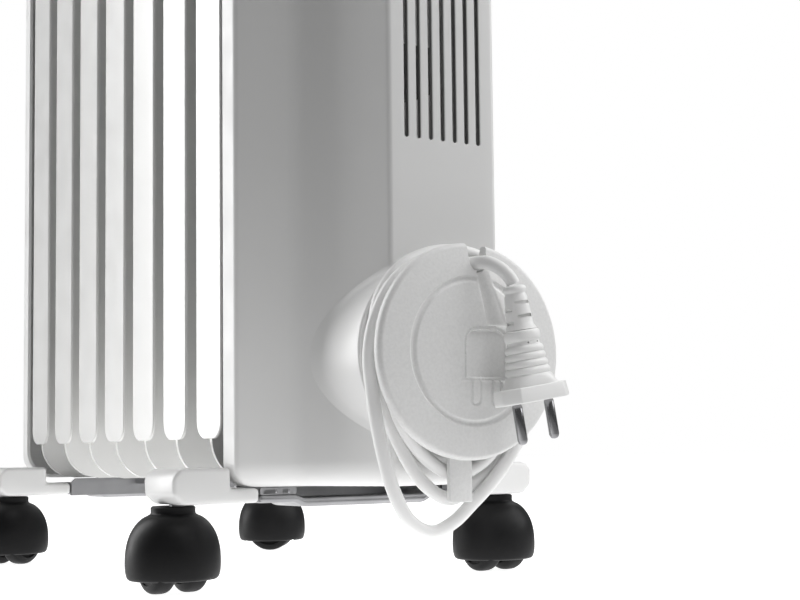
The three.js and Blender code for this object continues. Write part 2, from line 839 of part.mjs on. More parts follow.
// Caster parts are made about the stem's axis, with the wheels trailing towards +Y.
function casterHood() {
  const c = CASTER;
  const outer = turned(
    [
      [0, c.hoodBottom],
      [c.hoodRadius, c.hoodBottom],
      [c.hoodRadius, 24],
      [c.hoodRadius - 2.5, 31],
      [c.hoodRadius - 8, 37],
      [c.neckRadius, 39.5],
      [c.neckRadius, c.neckTop],
      [0, c.neckTop],
    ],
    "z",
    20,
  );
  outer.translate(0, c.trail, 0);
  let body = solid(outer);
  const room = c.wheelRadius + 1;
  for (const side of [-1, 1]) {
    const inner = side * (c.wheelOffset - c.wheelWidth / 2 - 0.5);
    const outerX = side * (c.wheelOffset + c.wheelWidth / 2 + 0.5);
    const x0 = Math.min(inner, outerX);
    const x1 = Math.max(inner, outerX);
    body = body.subtract(rod(room, x0, x1, "x", [0, c.trail, c.wheelRadius], 18));
    body = body.subtract(block([x0, c.trail - room, 0], [x1, c.trail + room, c.wheelRadius]));
  }
  body = body.subtract(
    rod(c.axleRadius + GAP, -c.hoodRadius + 5, c.hoodRadius - 5, "x", [0, c.trail, c.wheelRadius], 16),
  );
  return body.subtract(rod(c.stemRadius + GAP, 35.5, 50, "z", [0, 0, 0], 16));
}

function casterWheel(side) {
  const c = CASTER;
  const r = c.wheelRadius;
  const half = c.wheelWidth / 2;
  const bore = c.axleRadius + GAP;
  const g = turned(
    [
      [bore, -half],
      [r - 2.5, -half],
      [r, -half + 2.5],
      [r, half - 2.5],
      [r - 2.5, half],
      [bore, half],
      [bore, -half],
    ],
    "x",
    20,
  );
  g.translate(side * c.wheelOffset, c.trail, r);
  return g;
}

for (const end of ["front", "rear"]) {
  const rear = end === "rear";
  const stemAhead = rear ? CASTER.rearAhead : CASTER.frontAhead;
  const hubAhead = rear ? FINS_BACK + FIN.pitch : FINS_FRONT - FIN.pitch;
  const finAhead = rear ? FINS_BACK + FIN.pitch / 2 : FIN.firstAhead;
  add(end + "_bracket", bracket(stemAhead, hubAhead, finAhead, rear ? -1 : 1), STEEL);
  add(end + "_hook_bolt", hookBolt(hubAhead), STEEL);
  add(end + "_wing_nut", wingNut(hubAhead), STEEL);
  for (const [name, side] of [["left", -1], ["right", 1]]) {
    const label = end + "_" + name;
    add(label + "_arm", casterArm(side, stemAhead), PLASTIC);
    const caster = new THREE.Group();
    caster.position.set(side * CASTER.x, ahead(stemAhead), 0);
    caster.rotation.z = THREE.MathUtils.degToRad(-side * REST_TURN[end]);
    root.add(caster);
    add(label + "_stem", rod(CASTER.stemRadius, 36, ARM.top - 5, "z", [0, 0, 0], 16), STEEL, caster);
    add(label + "_hood", casterHood(), DARK, caster);
    const reach = CASTER.hoodRadius - 5.4;
    const axle = rod(CASTER.axleRadius, -reach, reach, "x", [0, CASTER.trail, CASTER.wheelRadius], 16);
    add(label + "_axle", axle, STEEL, caster);
    add(label + "_inner_wheel", casterWheel(-side), DARK, caster);
    add(label + "_outer_wheel", casterWheel(side), DARK, caster);
  }
}

export default root;
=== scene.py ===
# Looks of an oil filled radiator heater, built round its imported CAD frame.
# Shapes are worked out in millimetres as (x, ahead, z): x to the right, ahead in front of the winder
# plate's rim, z above the floor. place() turns them into the row frame, in metres.
import math

import bmesh
import bpy
import numpy as np
from mathutils import Matrix, Vector


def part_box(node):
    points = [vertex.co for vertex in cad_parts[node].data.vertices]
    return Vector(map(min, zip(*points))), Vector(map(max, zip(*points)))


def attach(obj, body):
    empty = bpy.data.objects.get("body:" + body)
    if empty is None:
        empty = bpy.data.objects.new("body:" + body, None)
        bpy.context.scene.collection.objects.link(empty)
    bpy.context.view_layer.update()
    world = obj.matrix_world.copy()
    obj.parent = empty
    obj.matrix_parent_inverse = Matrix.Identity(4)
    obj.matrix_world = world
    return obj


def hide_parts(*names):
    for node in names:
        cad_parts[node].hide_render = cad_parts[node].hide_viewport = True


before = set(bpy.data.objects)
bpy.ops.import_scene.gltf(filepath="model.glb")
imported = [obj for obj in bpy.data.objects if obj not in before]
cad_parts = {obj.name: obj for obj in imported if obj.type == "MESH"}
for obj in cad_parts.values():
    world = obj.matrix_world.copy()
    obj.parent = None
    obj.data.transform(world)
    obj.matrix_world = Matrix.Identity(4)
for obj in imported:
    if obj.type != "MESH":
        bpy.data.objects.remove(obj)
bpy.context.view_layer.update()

MM = 0.001
RADIATOR = "radiator"


# ---------------------------------------------------------------- sizes read from the frame
def corners(node):
    """A CAD node's lowest and highest corner as (x, y, z) in millimetres."""
    low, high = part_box(node)
    return [v / MM for v in low], [v / MM for v in high]


PLATE_LOW, PLATE_HIGH = corners("winder_plate")
PLATE_BACK = -5.0
FACE_Y = PLATE_HIGH[1] + PLATE_BACK
PLATE_R = (PLATE_HIGH[0] - PLATE_LOW[0]) / 2
WINDER_Z = PLATE_LOW[2] + PLATE_R
COVER_LOW, COVER_HIGH = corners("front_cover")
COVER_RIM = FACE_Y - COVER_HIGH[1]
COVER_HALF = COVER_HIGH[0]
COVER_BOTTOM, COVER_TOP = COVER_LOW[2], COVER_HIGH[2]


def place(points):
    """(x, ahead, z) in millimetres to the row frame in metres."""
    p = np.asarray(points, float).reshape(-1, 3)
    return np.column_stack([p[:, 0], FACE_Y - p[:, 1], p[:, 2]]) * MM


# ---------------------------------------------------------------- camera
VIEW_FROM = [-401.5, 573.4, 68.5]
VIEW_YAW, VIEW_PITCH, VIEW_ROLL = math.radians(35), math.radians(4.2), -0.0151
SENSOR_WIDTH, FOCAL_LENGTH, LENS_SHIFT, CLIP_END = 36, 66.87, (-0.09, 0.051), 60


def linked(name, data):
    """A new object in the scene."""
    obj = bpy.data.objects.new(name, data)
    bpy.context.scene.collection.objects.link(obj)
    return obj


camera = linked("camera", bpy.data.cameras.new("camera"))
camera.data.sensor_width = SENSOR_WIDTH
camera.data.lens = FOCAL_LENGTH
camera.data.shift_x, camera.data.shift_y = LENS_SHIFT
camera.data.clip_end = CLIP_END
level = math.cos(VIEW_PITCH)
forward = Vector((math.sin(VIEW_YAW) * level, math.cos(VIEW_YAW) * level, math.sin(VIEW_PITCH)))
turn = forward.to_track_quat("-Z", "Y").to_matrix() @ Matrix.Rotation(VIEW_ROLL, 3, "Z")
camera.matrix_world = Matrix.Translation(place([VIEW_FROM])[0]) @ turn.to_4x4()
bpy.context.scene.camera = camera


# ---------------------------------------------------------------- materials
CLOUD_RANGE = (0.3, 0.7)
COAT_ROUGHNESS = 0.12
GRAIN_DEPTH = 0.0001
FINE_TO_CLOUD = 5


def set_sockets(node, values):
    """Constants on a node's sockets; an underscore stands for a space in a socket's name."""
    for socket, value in values.items():
        node.inputs[socket.replace("_", " ")].default_value = value


def add_node(tree, kind, **values):
    node = tree.nodes.new("ShaderNode" + kind)
    set_sockets(node, values)
    return node


def noise(tree, scale, detail=4.0, stretch=(1, 1, 1)):
    """A noise texture over the object's own place, so that neighbouring pieces don't repeat."""
    coord = add_node(tree, "TexCoord")
    mapping = add_node(tree, "Mapping", Scale=stretch)
    texture = add_node(tree, "TexNoise", Scale=scale, Detail=detail)
    tree.links.new(coord.outputs["Object"], mapping.inputs["Vector"])
    tree.links.new(mapping.outputs["Vector"], texture.inputs["Vector"])
    return texture.outputs["Fac"]


def spread(tree, source, low, high):
    """The noise's middle range mapped on low to high."""
    from_low, from_high = CLOUD_RANGE
    node = add_node(tree, "MapRange", From_Min=from_low, From_Max=from_high, To_Min=low, To_Max=high)
    tree.links.new(source, node.inputs["Value"])
    return node.outputs["Result"]


def finish_of(name, light, dark, roughness, grain, bump, cloud=14.0, stretch=(1, 1, 1), **shading):
    """A moulded, painted or drawn surface: faint clouding of colour and gloss, and a fine grain."""
    mat = bpy.data.materials.new(name)
    mat.use_nodes = True
    tree = mat.node_tree
    shader = tree.nodes["Principled BSDF"]
    set_sockets(shader, {"Coat_Roughness": COAT_ROUGHNESS, **shading})
    ramp = add_node(tree, "ValToRGB")
    for element, position, colour in zip(ramp.color_ramp.elements, CLOUD_RANGE, (dark, light)):
        element.position = position
        element.color = (*colour, 1)
    tree.links.new(noise(tree, cloud), ramp.inputs["Fac"])
    tree.links.new(ramp.outputs["Color"], shader.inputs["Base Color"])
    fine = noise(tree, cloud * FINE_TO_CLOUD, 6.0, stretch)
    tree.links.new(spread(tree, fine, roughness * 0.85, roughness * 1.18), shader.inputs["Roughness"])
    relief = add_node(tree, "Bump", Strength=bump, Distance=GRAIN_DEPTH)
    tree.links.new(noise(tree, grain, 3.0, stretch), relief.inputs["Height"])
    tree.links.new(relief.outputs["Normal"], shader.inputs["Normal"])
    return mat


# name, light colour, dark colour, roughness, grain scale, grain strength, cloud scale, stretch
WHITE = finish_of("moulded_white", (0.815, 0.815, 0.81), (0.79, 0.79, 0.785), 0.34, 1500, 0.12)
DISC_WHITE = finish_of("satin_white", (0.86, 0.86, 0.855), (0.8, 0.8, 0.795), 0.42, 900, 0.5, cloud=700)
ENAMEL = finish_of("enamel_white", (0.83, 0.83, 0.82), (0.8, 0.8, 0.79), 0.22, 420, 0.1, Coat_Weight=0.3)
CORD_WHITE = finish_of("cord_sheath", (0.92, 0.92, 0.915), (0.88, 0.88, 0.875), 0.36, 900, 0.2, cloud=40)
PLUG_WHITE = finish_of("plug_vinyl", (0.94, 0.94, 0.935), (0.9, 0.9, 0.89), 0.36, 1300, 0.25, cloud=40)
PANEL_GREY = finish_of("panel_grey", (0.2, 0.205, 0.21), (0.17, 0.175, 0.18), 0.45, 1800, 0.3)
# grey of the hidden inner parts; also used as painted shade on the vent slots' side walls
INNER_GREY_AND_VENT_SHADE = finish_of("inner_grey_and_vent_shade", (0.22, 0.22, 0.22), (0.16, 0.16, 0.16), 0.55, 900, 0.3)
HOOD_BLACK = finish_of(
    "caster_black", (0.007, 0.007, 0.0075), (0.005, 0.005, 0.0055), 0.45, 1600, 0.35, Specular_IOR_Level=0.18
)
WHEEL_BLACK = finish_of(
    "wheel_black", (0.009, 0.009, 0.0095), (0.006, 0.006, 0.0065), 0.5, 1200, 0.4, Specular_IOR_Level=0.18
)
STEEL = finish_of(
    "zinc_steel", (0.42, 0.42, 0.43), (0.3, 0.3, 0.31), 0.34, 700, 0.2, 30, (0.15, 1, 1), Metallic=1.0
)
NICKEL = finish_of(
    "nickel", (0.34, 0.34, 0.35), (0.28, 0.28, 0.29), 0.18, 1500, 0.1, 60, (1, 1, 0.1), Metallic=1.0
)
LENS_RED = finish_of("lens_red", (0.55, 0.05, 0.02), (0.42, 0.03, 0.01), 0.12, 1500, 0.1, Coat_Weight=0.8)
MARK_WHITE = finish_of("printed_white", (0.78, 0.78, 0.77), (0.7, 0.7, 0.69), 0.5, 1500, 0.2)


# ---------------------------------------------------------------- mesh helpers
def quads(rows, columns, close_columns=False, close_rows=False):
    """The faces of a grid of points, row after row."""
    faces = []
    for r in range(rows if close_rows else rows - 1):
        for c in range(columns if close_columns else columns - 1):
            r1, c1 = (r + 1) % rows, (c + 1) % columns
            faces.append((r * columns + c, r * columns + c1, r1 * columns + c1, r1 * columns + c))
    return faces


def lathe(profile, segments=48):
    """A turned surface about z, from (radius, height) points that start and end on the axis or close."""
    closed = profile[0] == profile[-1]
    points = profile[:-1] if closed else profile
    angles = np.linspace(0, 2 * math.pi, segments, endpoint=False)
    verts = [(r * math.cos(t), r * math.sin(t), h) for r, h in points for t in angles]
    return verts, quads(len(points), segments, True, closed)


def catmull_value(a, b, c, d, t):
    """The uniform Catmull-Rom curve between b and c."""
    return 0.5 * (2 * b + (c - a) * t + (2 * a - 5 * b + 4 * c - d) * t * t + (3 * b - a - 3 * c + d) * t**3)


def smooth_profile(points, steps=6):
    """A curve through (radius, height) points; a repeated point keeps its corner."""
    out = []
    count = len(points)
    for i in range(count - 1):
        p1, p2 = points[i], points[i + 1]
        if p1 == p2:
            continue
        p0 = points[i - 1] if i > 0 and points[i - 1] != p1 else p1
        p3 = points[i + 2] if i + 2 < count and points[i + 2] != p2 else p2
        for s in range(steps):
            out.append(tuple(catmull_value(*near, s / steps) for near in zip(p0, p1, p2, p3)))
    out.append(points[-1])
    return out


def fillet(points, radii, step=math.radians(8)):
    """A polyline whose inner corners are rounded with their own radii."""
    out = [tuple(points[0])]
    for i in range(1, len(points) - 1):
        p, before, after = (np.array(points[k], float) for k in (i, i - 1, i + 1))
        u, v = (before - p) / np.linalg.norm(before - p), (after - p) / np.linalg.norm(after - p)
        opening = math.acos(max(-1, min(1, float(u @ v))))
        radius = radii[i]
        if radius <= 0:
            out.append(tuple(p))
            continue
        reach = radius / math.tan(opening / 2)
        centre = p + (u + v) / np.linalg.norm(u + v) * radius / math.sin(opening / 2)
        a0 = p + u * reach - centre
        a1 = p + v * reach - centre
        sweep = math.pi - opening
        side = math.copysign(1, a0[0] * a1[1] - a0[1] * a1[0])
        count = max(2, int(sweep / step))
        for k in range(count + 1):
            t = side * sweep * k / count
            c, s = math.cos(t), math.sin(t)
            out.append((centre[0] + a0[0] * c - a0[1] * s, centre[1] + a0[0] * s + a0[1] * c))
    out.append(tuple(points[-1]))
    return out


def rounded_rect(x0, x1, z0, z1, radius, count=8):
    """A closed outline of a rectangle with round corners."""
    out = []
    for cx, cz, start in [
        (x1 - radius, z1 - radius, 0),
        (x0 + radius, z1 - radius, 90),
        (x0 + radius, z0 + radius, 180),
        (x1 - radius, z0 + radius, 270),
    ]:
        for k in range(count + 1):
            t = math.radians(start + 90 * k / count)
            out.append((cx + radius * math.cos(t), cz + radius * math.sin(t)))
    return out


def loft(rings):
    """A closed solid through rings of equal count, with flat ends."""
    count = len(rings[0])
    verts = [p for ring in rings for p in ring]
    faces = quads(len(rings), count, True)
    faces.append(tuple(range(count)))
    faces.append(tuple(range(len(verts) - count, len(verts))))
    return verts, faces


def prism(outline, a0, a1):
    """An (x, z) outline carried from one ahead distance to another."""
    return loft([[(x, a, z) for x, z in outline] for a in (a0, a1)])


def box_shape(x0, x1, a0, a1, z0, z1):
    corner = [(x0, a0), (x1, a0), (x1, a1), (x0, a1)]
    return loft([[(x, a, z) for x, a in corner] for z in (z0, z1)])


def merge(*shapes):
    """Several shapes as one list of points and faces."""
    verts, faces = [], []
    for v, f in shapes:
        start = len(verts)
        verts.extend(v)
        faces.extend(tuple(i + start for i in face) for face in f)
    return verts, faces


def moved(shape, change):
    """A shape with each of its points changed by a function of (x, y, z)."""
    return [change(*p) for p in shape[0]], shape[1]


def rod(radius, back, front, z0, segments=32):
    """A round bar from one ahead distance to another, at a height over the middle."""
    profile = [(0, 0), (radius, 0), (radius, front - back), (0, front - back)]
    return moved(lathe(profile, segments), lambda x, y, h: (x, back + h, z0 + y))


WELD = 0.00001


def mesh_of(name, shape, metres=False):
    verts, faces = shape
    points = np.asarray(verts, float) if metres else place(verts)
    mesh = bpy.data.meshes.new(name)
    mesh.from_pydata([tuple(p) for p in points], [], [list(dict.fromkeys(f)) for f in faces])
    bm = bmesh.new()
    bm.from_mesh(mesh)
    bmesh.ops.remove_doubles(bm, verts=bm.verts, dist=WELD)
    bmesh.ops.recalc_face_normals(bm, faces=bm.faces)
    bm.to_mesh(mesh)
    bm.free()
    return mesh


def settle(obj):
    """Apply an object's modifiers."""
    graph = bpy.context.evaluated_depsgraph_get()
    graph.update()
    baked = bpy.data.meshes.new_from_object(obj.evaluated_get(graph))
    obj.modifiers.clear()
    obj.data = baked


def new_object(name, shape, metres=False):
    return linked(name, mesh_of(name, shape, metres))


def cut(obj, shape, metres=False, operation="DIFFERENCE"):
    """Cut a shape out of an object, or join it on."""
    tool = new_object("cutter", shape, metres)
    boolean = obj.modifiers.new("cut", "BOOLEAN")
    boolean.operation = operation
    boolean.solver = "EXACT"
    boolean.object = tool
    settle(obj)
    bpy.data.objects.remove(tool)


def soften(obj, width, segments=3, angle=30):
    """Round the edges that turn by more than an angle."""
    bevel = obj.modifiers.new("edges", "BEVEL")
    bevel.width = width * MM
    bevel.segments = segments
    bevel.limit_method = "ANGLE"
    bevel.angle_limit = math.radians(angle)
    bevel.harden_normals = False
    settle(obj)


def dress(obj, material, slot, body=RADIATOR, replaces=(), sharp=35):
    """Smooth shading up to an angle, material, body and the CAD nodes it stands for; slot is not used."""
    obj.data.shade_smooth()
    obj.data.set_sharp_from_angle(angle=math.radians(sharp))
    obj.data.materials.clear()
    obj.data.materials.append(material)
    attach(obj, body)
    if replaces:
        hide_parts(*replaces)
    return obj


def piece(name, shape, material, slot, rounding=None, **how):
    """A piece that needs no cuts: its object, its rounded edges and its dress."""
    obj = new_object(name, shape)
    if rounding:
        soften(obj, *rounding)
    return dress(obj, material, slot, **how)


# ---------------------------------------------------------------- mains cord
CORD_DIAMETER = 6.6
INNER_TURN = 35.7
GLAND_ANGLE, GLAND_RADIUS = 215, 30.8
BACK_LANE, FRONT_LANE, LANE_CHANGE = -16.6, -9.2, (500, 90)
DRUM_POINTS, CORD_SPACING = 20, 2.0
# [angle, radius, ahead]; the angle runs clockwise from the top, as seen from the front
WOUND = [
    [100, 42.8, -9.2], [120, 43, -9.2], [145, 45.5, -9.6], [165, 53.5, -11.6], [182, 57.8, -12.2],
    [200, 53.8, -11.6], [222, 48.2, -9.8], [248, 43.6, -9.2], [275, 42.8, -9.2], [298, 42.8, -10.2],
    [318, 42.8, -12.4], [340, 42.8, -15], [360, 42.8, -16.6], [395, 42.8, -16.6], [430, 42.8, -16.6],
    [465, 43.2, -16.6], [485, 47, -16.6], [500, 53.6, -17], [515, 59.8, -18], [529, 64.2, -18],
    [537, 68, -16.6], [545, 69.6, -14.8], [557, 64.6, -14.6], [567, 58.4, -15], [582, 50.6, -16],
    [600, 45.2, -16.6], [620, 43, -16.6], [635, 43.4, -16.6], [650, 45.8, -16.6], [665, 48.2, -16.4],
    [682, 49.4, -16], [700, 49.4, -15.6], [720, 49.4, -15], [740, 49.2, -13.8], [775, 49, -12.8],
    [815, 49, -12.6], [848, 51.8, -12.2], [868, 57.4, -12], [884, 65.2, -12], [894, 72, -12],
    [903, 80.8, -12.2], [911, 86.2, -12.2], [920, 83.6, -12.2], [929, 75.2, -12.2], [940, 65, -12.2],
    [954, 56.2, -12.4], [970, 50.8, -12.6], [988, 49.6, -11.6], [1006, 49.4, -9.8], [1026, 49.2, -9.2],
    [1046, 48.2, -9.2], [1060, 46.4, -9.2], [1069, 44.8, -9.1],
]
# [x, ahead, z]
LEAD_OUT = [
    [-3.6, -9, 158], [-0.7, -8.5, 157.6], [1.7, -6.9, 157.4], [3.3, -4.5, 157.3], [4, -1.6, 157.3],
    [4.5, 1.8, 157.2], [5.4, 5.2, 156.8], [7, 8.4, 155.6], [9.1, 11.1, 153.6], [11.3, 13, 151],
    [13, 14.1, 148.4], [14, 14.5, 146.2],
]


def around(degrees, radius, ahead):
    t = math.radians(degrees)
    return [radius * math.sin(t), ahead, WINDER_Z + radius * math.cos(t)]


def cord_points():
    """Gland, the turns on the drum, then the wound strands and the lead out to the plug."""
    route = [around(GLAND_ANGLE, 33.2, BACK_LANE), around(GLAND_ANGLE + 9, 34.8, BACK_LANE)]
    first, last = GLAND_ANGLE + 20, WOUND[0][0] + 720 - 34
    steps = math.ceil((last - first) / 360 * DRUM_POINTS)
    for i in range(steps + 1):
        angle = first + (last - first) * i / steps
        lane = min(1, max(0, (angle - LANE_CHANGE[0]) / LANE_CHANGE[1]))
        route.append(around(angle, INNER_TURN, BACK_LANE + (FRONT_LANE - BACK_LANE) * lane))
    route += [around(last + 16, 37.6, FRONT_LANE), around(last + 27, 40.6, FRONT_LANE)]
    route += [around(*point) for point in WOUND]
    return route + LEAD_OUT


def between(s, s0, s1, p, q):
    """The point on the line from p at s0 to q at s1."""
    return (s1 - s) / (s1 - s0) * p + (s - s0) / (s1 - s0) * q


def catmull(points, spacing):
    """Centripetal Catmull-Rom samples through points, about one each spacing."""
    p = np.asarray(points, float)
    p = np.vstack([2 * p[0] - p[1], p, 2 * p[-1] - p[-2]])
    out = []
    for i in range(1, len(p) - 2):
        t = [0.0]
        for k in range(3):
            t.append(t[-1] + max(1e-6, np.linalg.norm(p[i + k] - p[i + k - 1])) ** 0.5)
        count = max(2, round(np.linalg.norm(p[i + 1] - p[i]) / spacing))
        for s in np.linspace(t[1], t[2], count, endpoint=False):
            a = [between(s, t[k], t[k + 1], p[i + k - 1], p[i + k]) for k in range(3)]
            b = [between(s, t[k], t[k + 2], a[k], a[k + 1]) for k in range(2)]
            out.append(between(s, t[1], t[2], *b))
    out.append(p[-2])
    return np.array(out)


cord_line = catmull(cord_points(), CORD_SPACING)
cord_curve = bpy.data.curves.new("mains_cord", "CURVE")
cord_curve.dimensions = "3D"
cord_curve.bevel_depth = CORD_DIAMETER / 2 * MM
cord_curve.bevel_resolution = 5
cord_curve.use_fill_caps = True
cord_spline = cord_curve.splines.new("POLY")
cord_spline.points.add(len(cord_line) - 1)
for spline_point, where in zip(cord_spline.points, place(cord_line)):
    spline_point.co = (*where, 1)
mains_cord = linked("mains_cord", cord_curve)
cord_curve.materials.append(CORD_WHITE)
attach(mains_cord, RADIATOR)
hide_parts("cord_coil", "cord_lead")

# ---------------------------------------------------------------- plug
PLUG_TOP = Vector(place([[14.2, 14.6, 145.2]])[0])
PLUG_FLANGE = Vector(place([[22, 16.5, 95]])[0])
PLUG_TURN = Vector((0, 0, -1)).rotation_difference(PLUG_FLANGE - PLUG_TOP).to_matrix()
RELIEF_LENGTH, BODY_LENGTH = 21, 55
RELIEF_STATIONS = [
    (0, 4.2, 4.2, 2), (0.3, 4.9, 4.9, 2), (0.9, 5.5, 5.5, 2), (1.7, 5.7, 5.7, 2), (2.6, 5.6, 5.6, 2),
    (3.2, 5.1, 5.1, 2), (3.6, 4.9, 4.9, 2), (4.3, 5.0, 5.0, 2), (5.2, 5.3, 5.3, 2.1), (9, 5.6, 5.6, 2.2),
    (13, 5.8, 5.8, 2.3), (17, 5.9, 5.8, 2.4), (18.6, 6.1, 6.0, 2.4), (20, 6.9, 6.5, 2.4),
    (RELIEF_LENGTH, 7.5, 6.9, 2.4),
]
NECK_STATIONS = [
    (RELIEF_LENGTH + 0.3, 7.6, 7.1, 2.3), (RELIEF_LENGTH + 0.7, 8.3, 7.6, 2.3), (22.6, 8.6, 7.9, 2.3),
    (25.2, 8.5, 7.9, 2.4), (26.0, 8.1, 7.6, 2.4), (26.4, 7.5, 7.1, 2.4), (28.2, 7.6, 7.1, 2.4),
]
FOOT_STATIONS = [
    (42.6, 10.5, 8.3, 2.6), (43.2, 11.2, 8.5, 2.8), (45.4, 12.4, 8.6, 3.0), (47.9, 14.2, 8.3, 3.4),
    (49, 14.8, 8.2, 3.4),
]
RIB_TOP, RIB_BOTTOM, RIBS, RIB_DEPTH = 28.4, 42.2, 4, 1.0
FRONT_SLOTS, SIDE_SLOTS = (8.2, 14.6), (11.4, 17.6)
FLANGE_THICK, FLANGE_X, FLANGE_Y, FLANGE_FLAT_X, FLANGE_FLAT_Y = 7.3, 19.9, 9.4, 13.1, 3.5
PIN_RADIUS, PIN_LENGTH, PIN_SPACING = 2.4, 19, 19


def on_plug(shape):
    """Plug coordinates: x across the pins, y to the back, z up from the top of the strain relief."""
    return [tuple(PLUG_TOP + PLUG_TURN @ (Vector(p) * MM)) for p in shape[0]], shape[1]


def plug_rings(stations, count=48):
    """Rings of (drop, half width, half depth, squareness) down the plug's axis."""
    rings = []
    for drop, half_width, half_depth, square in stations:
        ring = []
        for k in range(count):
            t = 2 * math.pi * k / count
            c, s = math.cos(t), math.sin(t)
            x = half_width * math.copysign(abs(c) ** (2 / square), c)
            ring.append((x, half_depth * math.copysign(abs(s) ** (2 / square), s), -drop))
        rings.append(ring)
    return loft(rings)


def cut_slots(drops, height, x_ranges, y_ranges):
    """Slots across the relief, with round ends."""
    for drop in drops:
        for x0, x1 in x_ranges:
            for y0, y1 in y_ranges:
                outline = rounded_rect(x0, x1, -drop - height / 2, -drop + height / 2, height * 0.45, 4)
                cut(relief, on_plug(prism(outline, y0, y1)), metres=True)


relief = new_object("plug_strain_relief", on_plug(plug_rings(RELIEF_STATIONS)), metres=True)
cut_slots(FRONT_SLOTS, 1.6, [(-4.2, 4.2)], [(-12, -3.4), (3.4, 12)])
cut_slots(SIDE_SLOTS, 1.5, [(-12, -4.6), (4.6, 12)], [(-2.6, 2.6)])
dress(relief, PLUG_WHITE, "plug_pvc", replaces=["plug_relief"])


def rib_stations():
    """The ribbed grip, which widens downward."""
    stations = []
    for i in range(RIBS * 8 + 1):
        u = i / (RIBS * 8)
        wave = RIB_DEPTH * abs(math.sin(math.pi * u * RIBS)) ** 0.6
        drop = RIB_TOP + (RIB_BOTTOM - RIB_TOP) * u
        stations.append((drop, 7.7 + 2.5 * u + wave, 7.1 + 0.9 * u + wave, 2.5))
    return stations


body_stations = NECK_STATIONS + rib_stations() + FOOT_STATIONS
plug_body = new_object("plug_grip", on_plug(plug_rings(body_stations, 64)), metres=True)
flange_corners = [(FLANGE_X, FLANGE_FLAT_Y), (FLANGE_FLAT_X, FLANGE_Y)]
flange_half = flange_corners + [(-x, y) for x, y in flange_corners[::-1]]
flange_outline = flange_half + [(-x, -y) for x, y in flange_half]
flange_rings = [
    [(x * grow, y * grow, -drop) for x, y in flange_outline]
    for drop, grow in ((BODY_LENGTH - FLANGE_THICK, 0.96), (BODY_LENGTH - 1.2, 1.0), (BODY_LENGTH, 0.985))
]
flange_body = new_object("plug_flange", on_plug(loft(flange_rings)), metres=True)
soften(flange_body, 0.6, 3, 25)
for hole in (-2.2, 3.4):
    dimple = moved(
        lathe([(0, 0), (0.5, 0), (0.5, 4), (0, 4)], 12), lambda x, y, z, h=hole: (x + h, -9.6 + z, y - 27.4)
    )
    cut(plug_body, on_plug(dimple), metres=True)
dress(plug_body, PLUG_WHITE, "plug_pvc", replaces=["plug_body"])
dress(flange_body, PLUG_WHITE, "plug_pvc", sharp=40)

pin_top = -BODY_LENGTH - 0.3
pin_tip = pin_top - PIN_LENGTH
pin_end = [(0, 0), (1.1, 0.2), (1.9, 0.9), (PIN_RADIUS, 2.2), (PIN_RADIUS, 2.2)]
pin_profile = smooth_profile([(r, pin_tip + h) for r, h in pin_end], 5)
pin_profile += [(PIN_RADIUS, -BODY_LENGTH - 1.2), (2.1, pin_top), (0, pin_top)]
for side, label in ((-1, "left"), (1, "right")):
    pin_shape = moved(lathe(pin_profile, 40), lambda x, y, z, s=side: (x + s * PIN_SPACING / 2, y, z))
    pin = new_object("contact_pin_" + label, on_plug(pin_shape), metres=True)
    dress(pin, NICKEL, "nickel", replaces=["plug_pin_" + label])


# ---------------------------------------------------------------- rounded solids by distance
def inside_polygon(points, polygon):
    """True for the (x, ahead) points inside a closed polygon."""
    x, y = points[:, 0], points[:, 1]
    inside = np.zeros(len(points), bool)
    for (x0, y0), (x1, y1) in zip(polygon, np.roll(polygon, -1, axis=0)):
        crosses = (y0 > y) != (y1 > y)
        with np.errstate(divide="ignore", invalid="ignore"):
            at = (x1 - x0) * (y - y0) / (y1 - y0) + x0
        inside ^= crosses & (x < at)
    return inside


def polygon_distance(points, polygon):
    """Signed distance to a closed polygon, negative inside."""
    best = np.full(len(points), 1e9)
    for p, q in zip(polygon, np.roll(polygon, -1, axis=0)):
        edge = q - p
        t = np.clip(((points - p) @ edge) / (edge @ edge), 0, 1)
        best = np.minimum(best, np.linalg.norm(points - p - t[:, None] * edge, axis=1))
    return np.where(inside_polygon(points, polygon), -best, best)


def both(d1, d2, radius):
    """The distance to what two solids share, with a round edge."""
    u, v = np.maximum(radius + d1, 0), np.maximum(radius + d2, 0)
    return np.minimum(-radius, np.maximum(d1, d2)) + np.hypot(u, v)


def either(d1, d2, radius):
    """The distance to two joined solids, with a round inner corner."""
    u, v = np.maximum(radius - d1, 0), np.maximum(radius - d2, 0)
    return np.maximum(radius, np.minimum(d1, d2)) - np.hypot(u, v)


def cast(distance, origins, directions, reach):
    """Where rays that start inside a solid leave it."""
    low, high = np.zeros(len(origins)), np.full(len(origins), float(reach))
    for _ in range(24):
        middle = (low + high) / 2
        out = distance(origins + directions * middle[:, None]) > 0
        high, low = np.where(out, middle, high), np.where(out, low, middle)
    return origins + directions * ((low + high) / 2)[:, None]


# ---------------------------------------------------------------- front cover
BOTTOM_ROUND, TOP_ROUND, BROW_ROUND = 12.0, 6.0, 14.0
RIDGE_AHEAD = -22.0
BROW = [(RIDGE_AHEAD, 582.0), (-36.0, 600.0), (-74.0, COVER_TOP)]
LINE_STEP = 7
BEHIND_COVER = -160.0
RAY_REACH = 700
HALF_PLAN = fillet(
    [(COVER_HALF, COVER_RIM), (COVER_HALF, -94.2), (50.6, -77.5), (30.9, RIDGE_AHEAD), (0, RIDGE_AHEAD)],
    [0, 4.5, 16, 3, 0],
)


def resample(line, longest):
    """Split a polyline's long stretches."""
    out = [line[0]]
    for p, q in zip(line, line[1:]):
        count = max(1, math.ceil(math.dist(p, q) / longest))
        out += [tuple(np.array(p) + (np.array(q) - np.array(p)) * k / count) for k in range(1, count + 1)]
    return out


def both_sides(half):
    """A plan line from its right half, which ends on the middle."""
    line = resample(half, LINE_STEP)
    return line + [(-x, a) for x, a in reversed(line[:-1])]


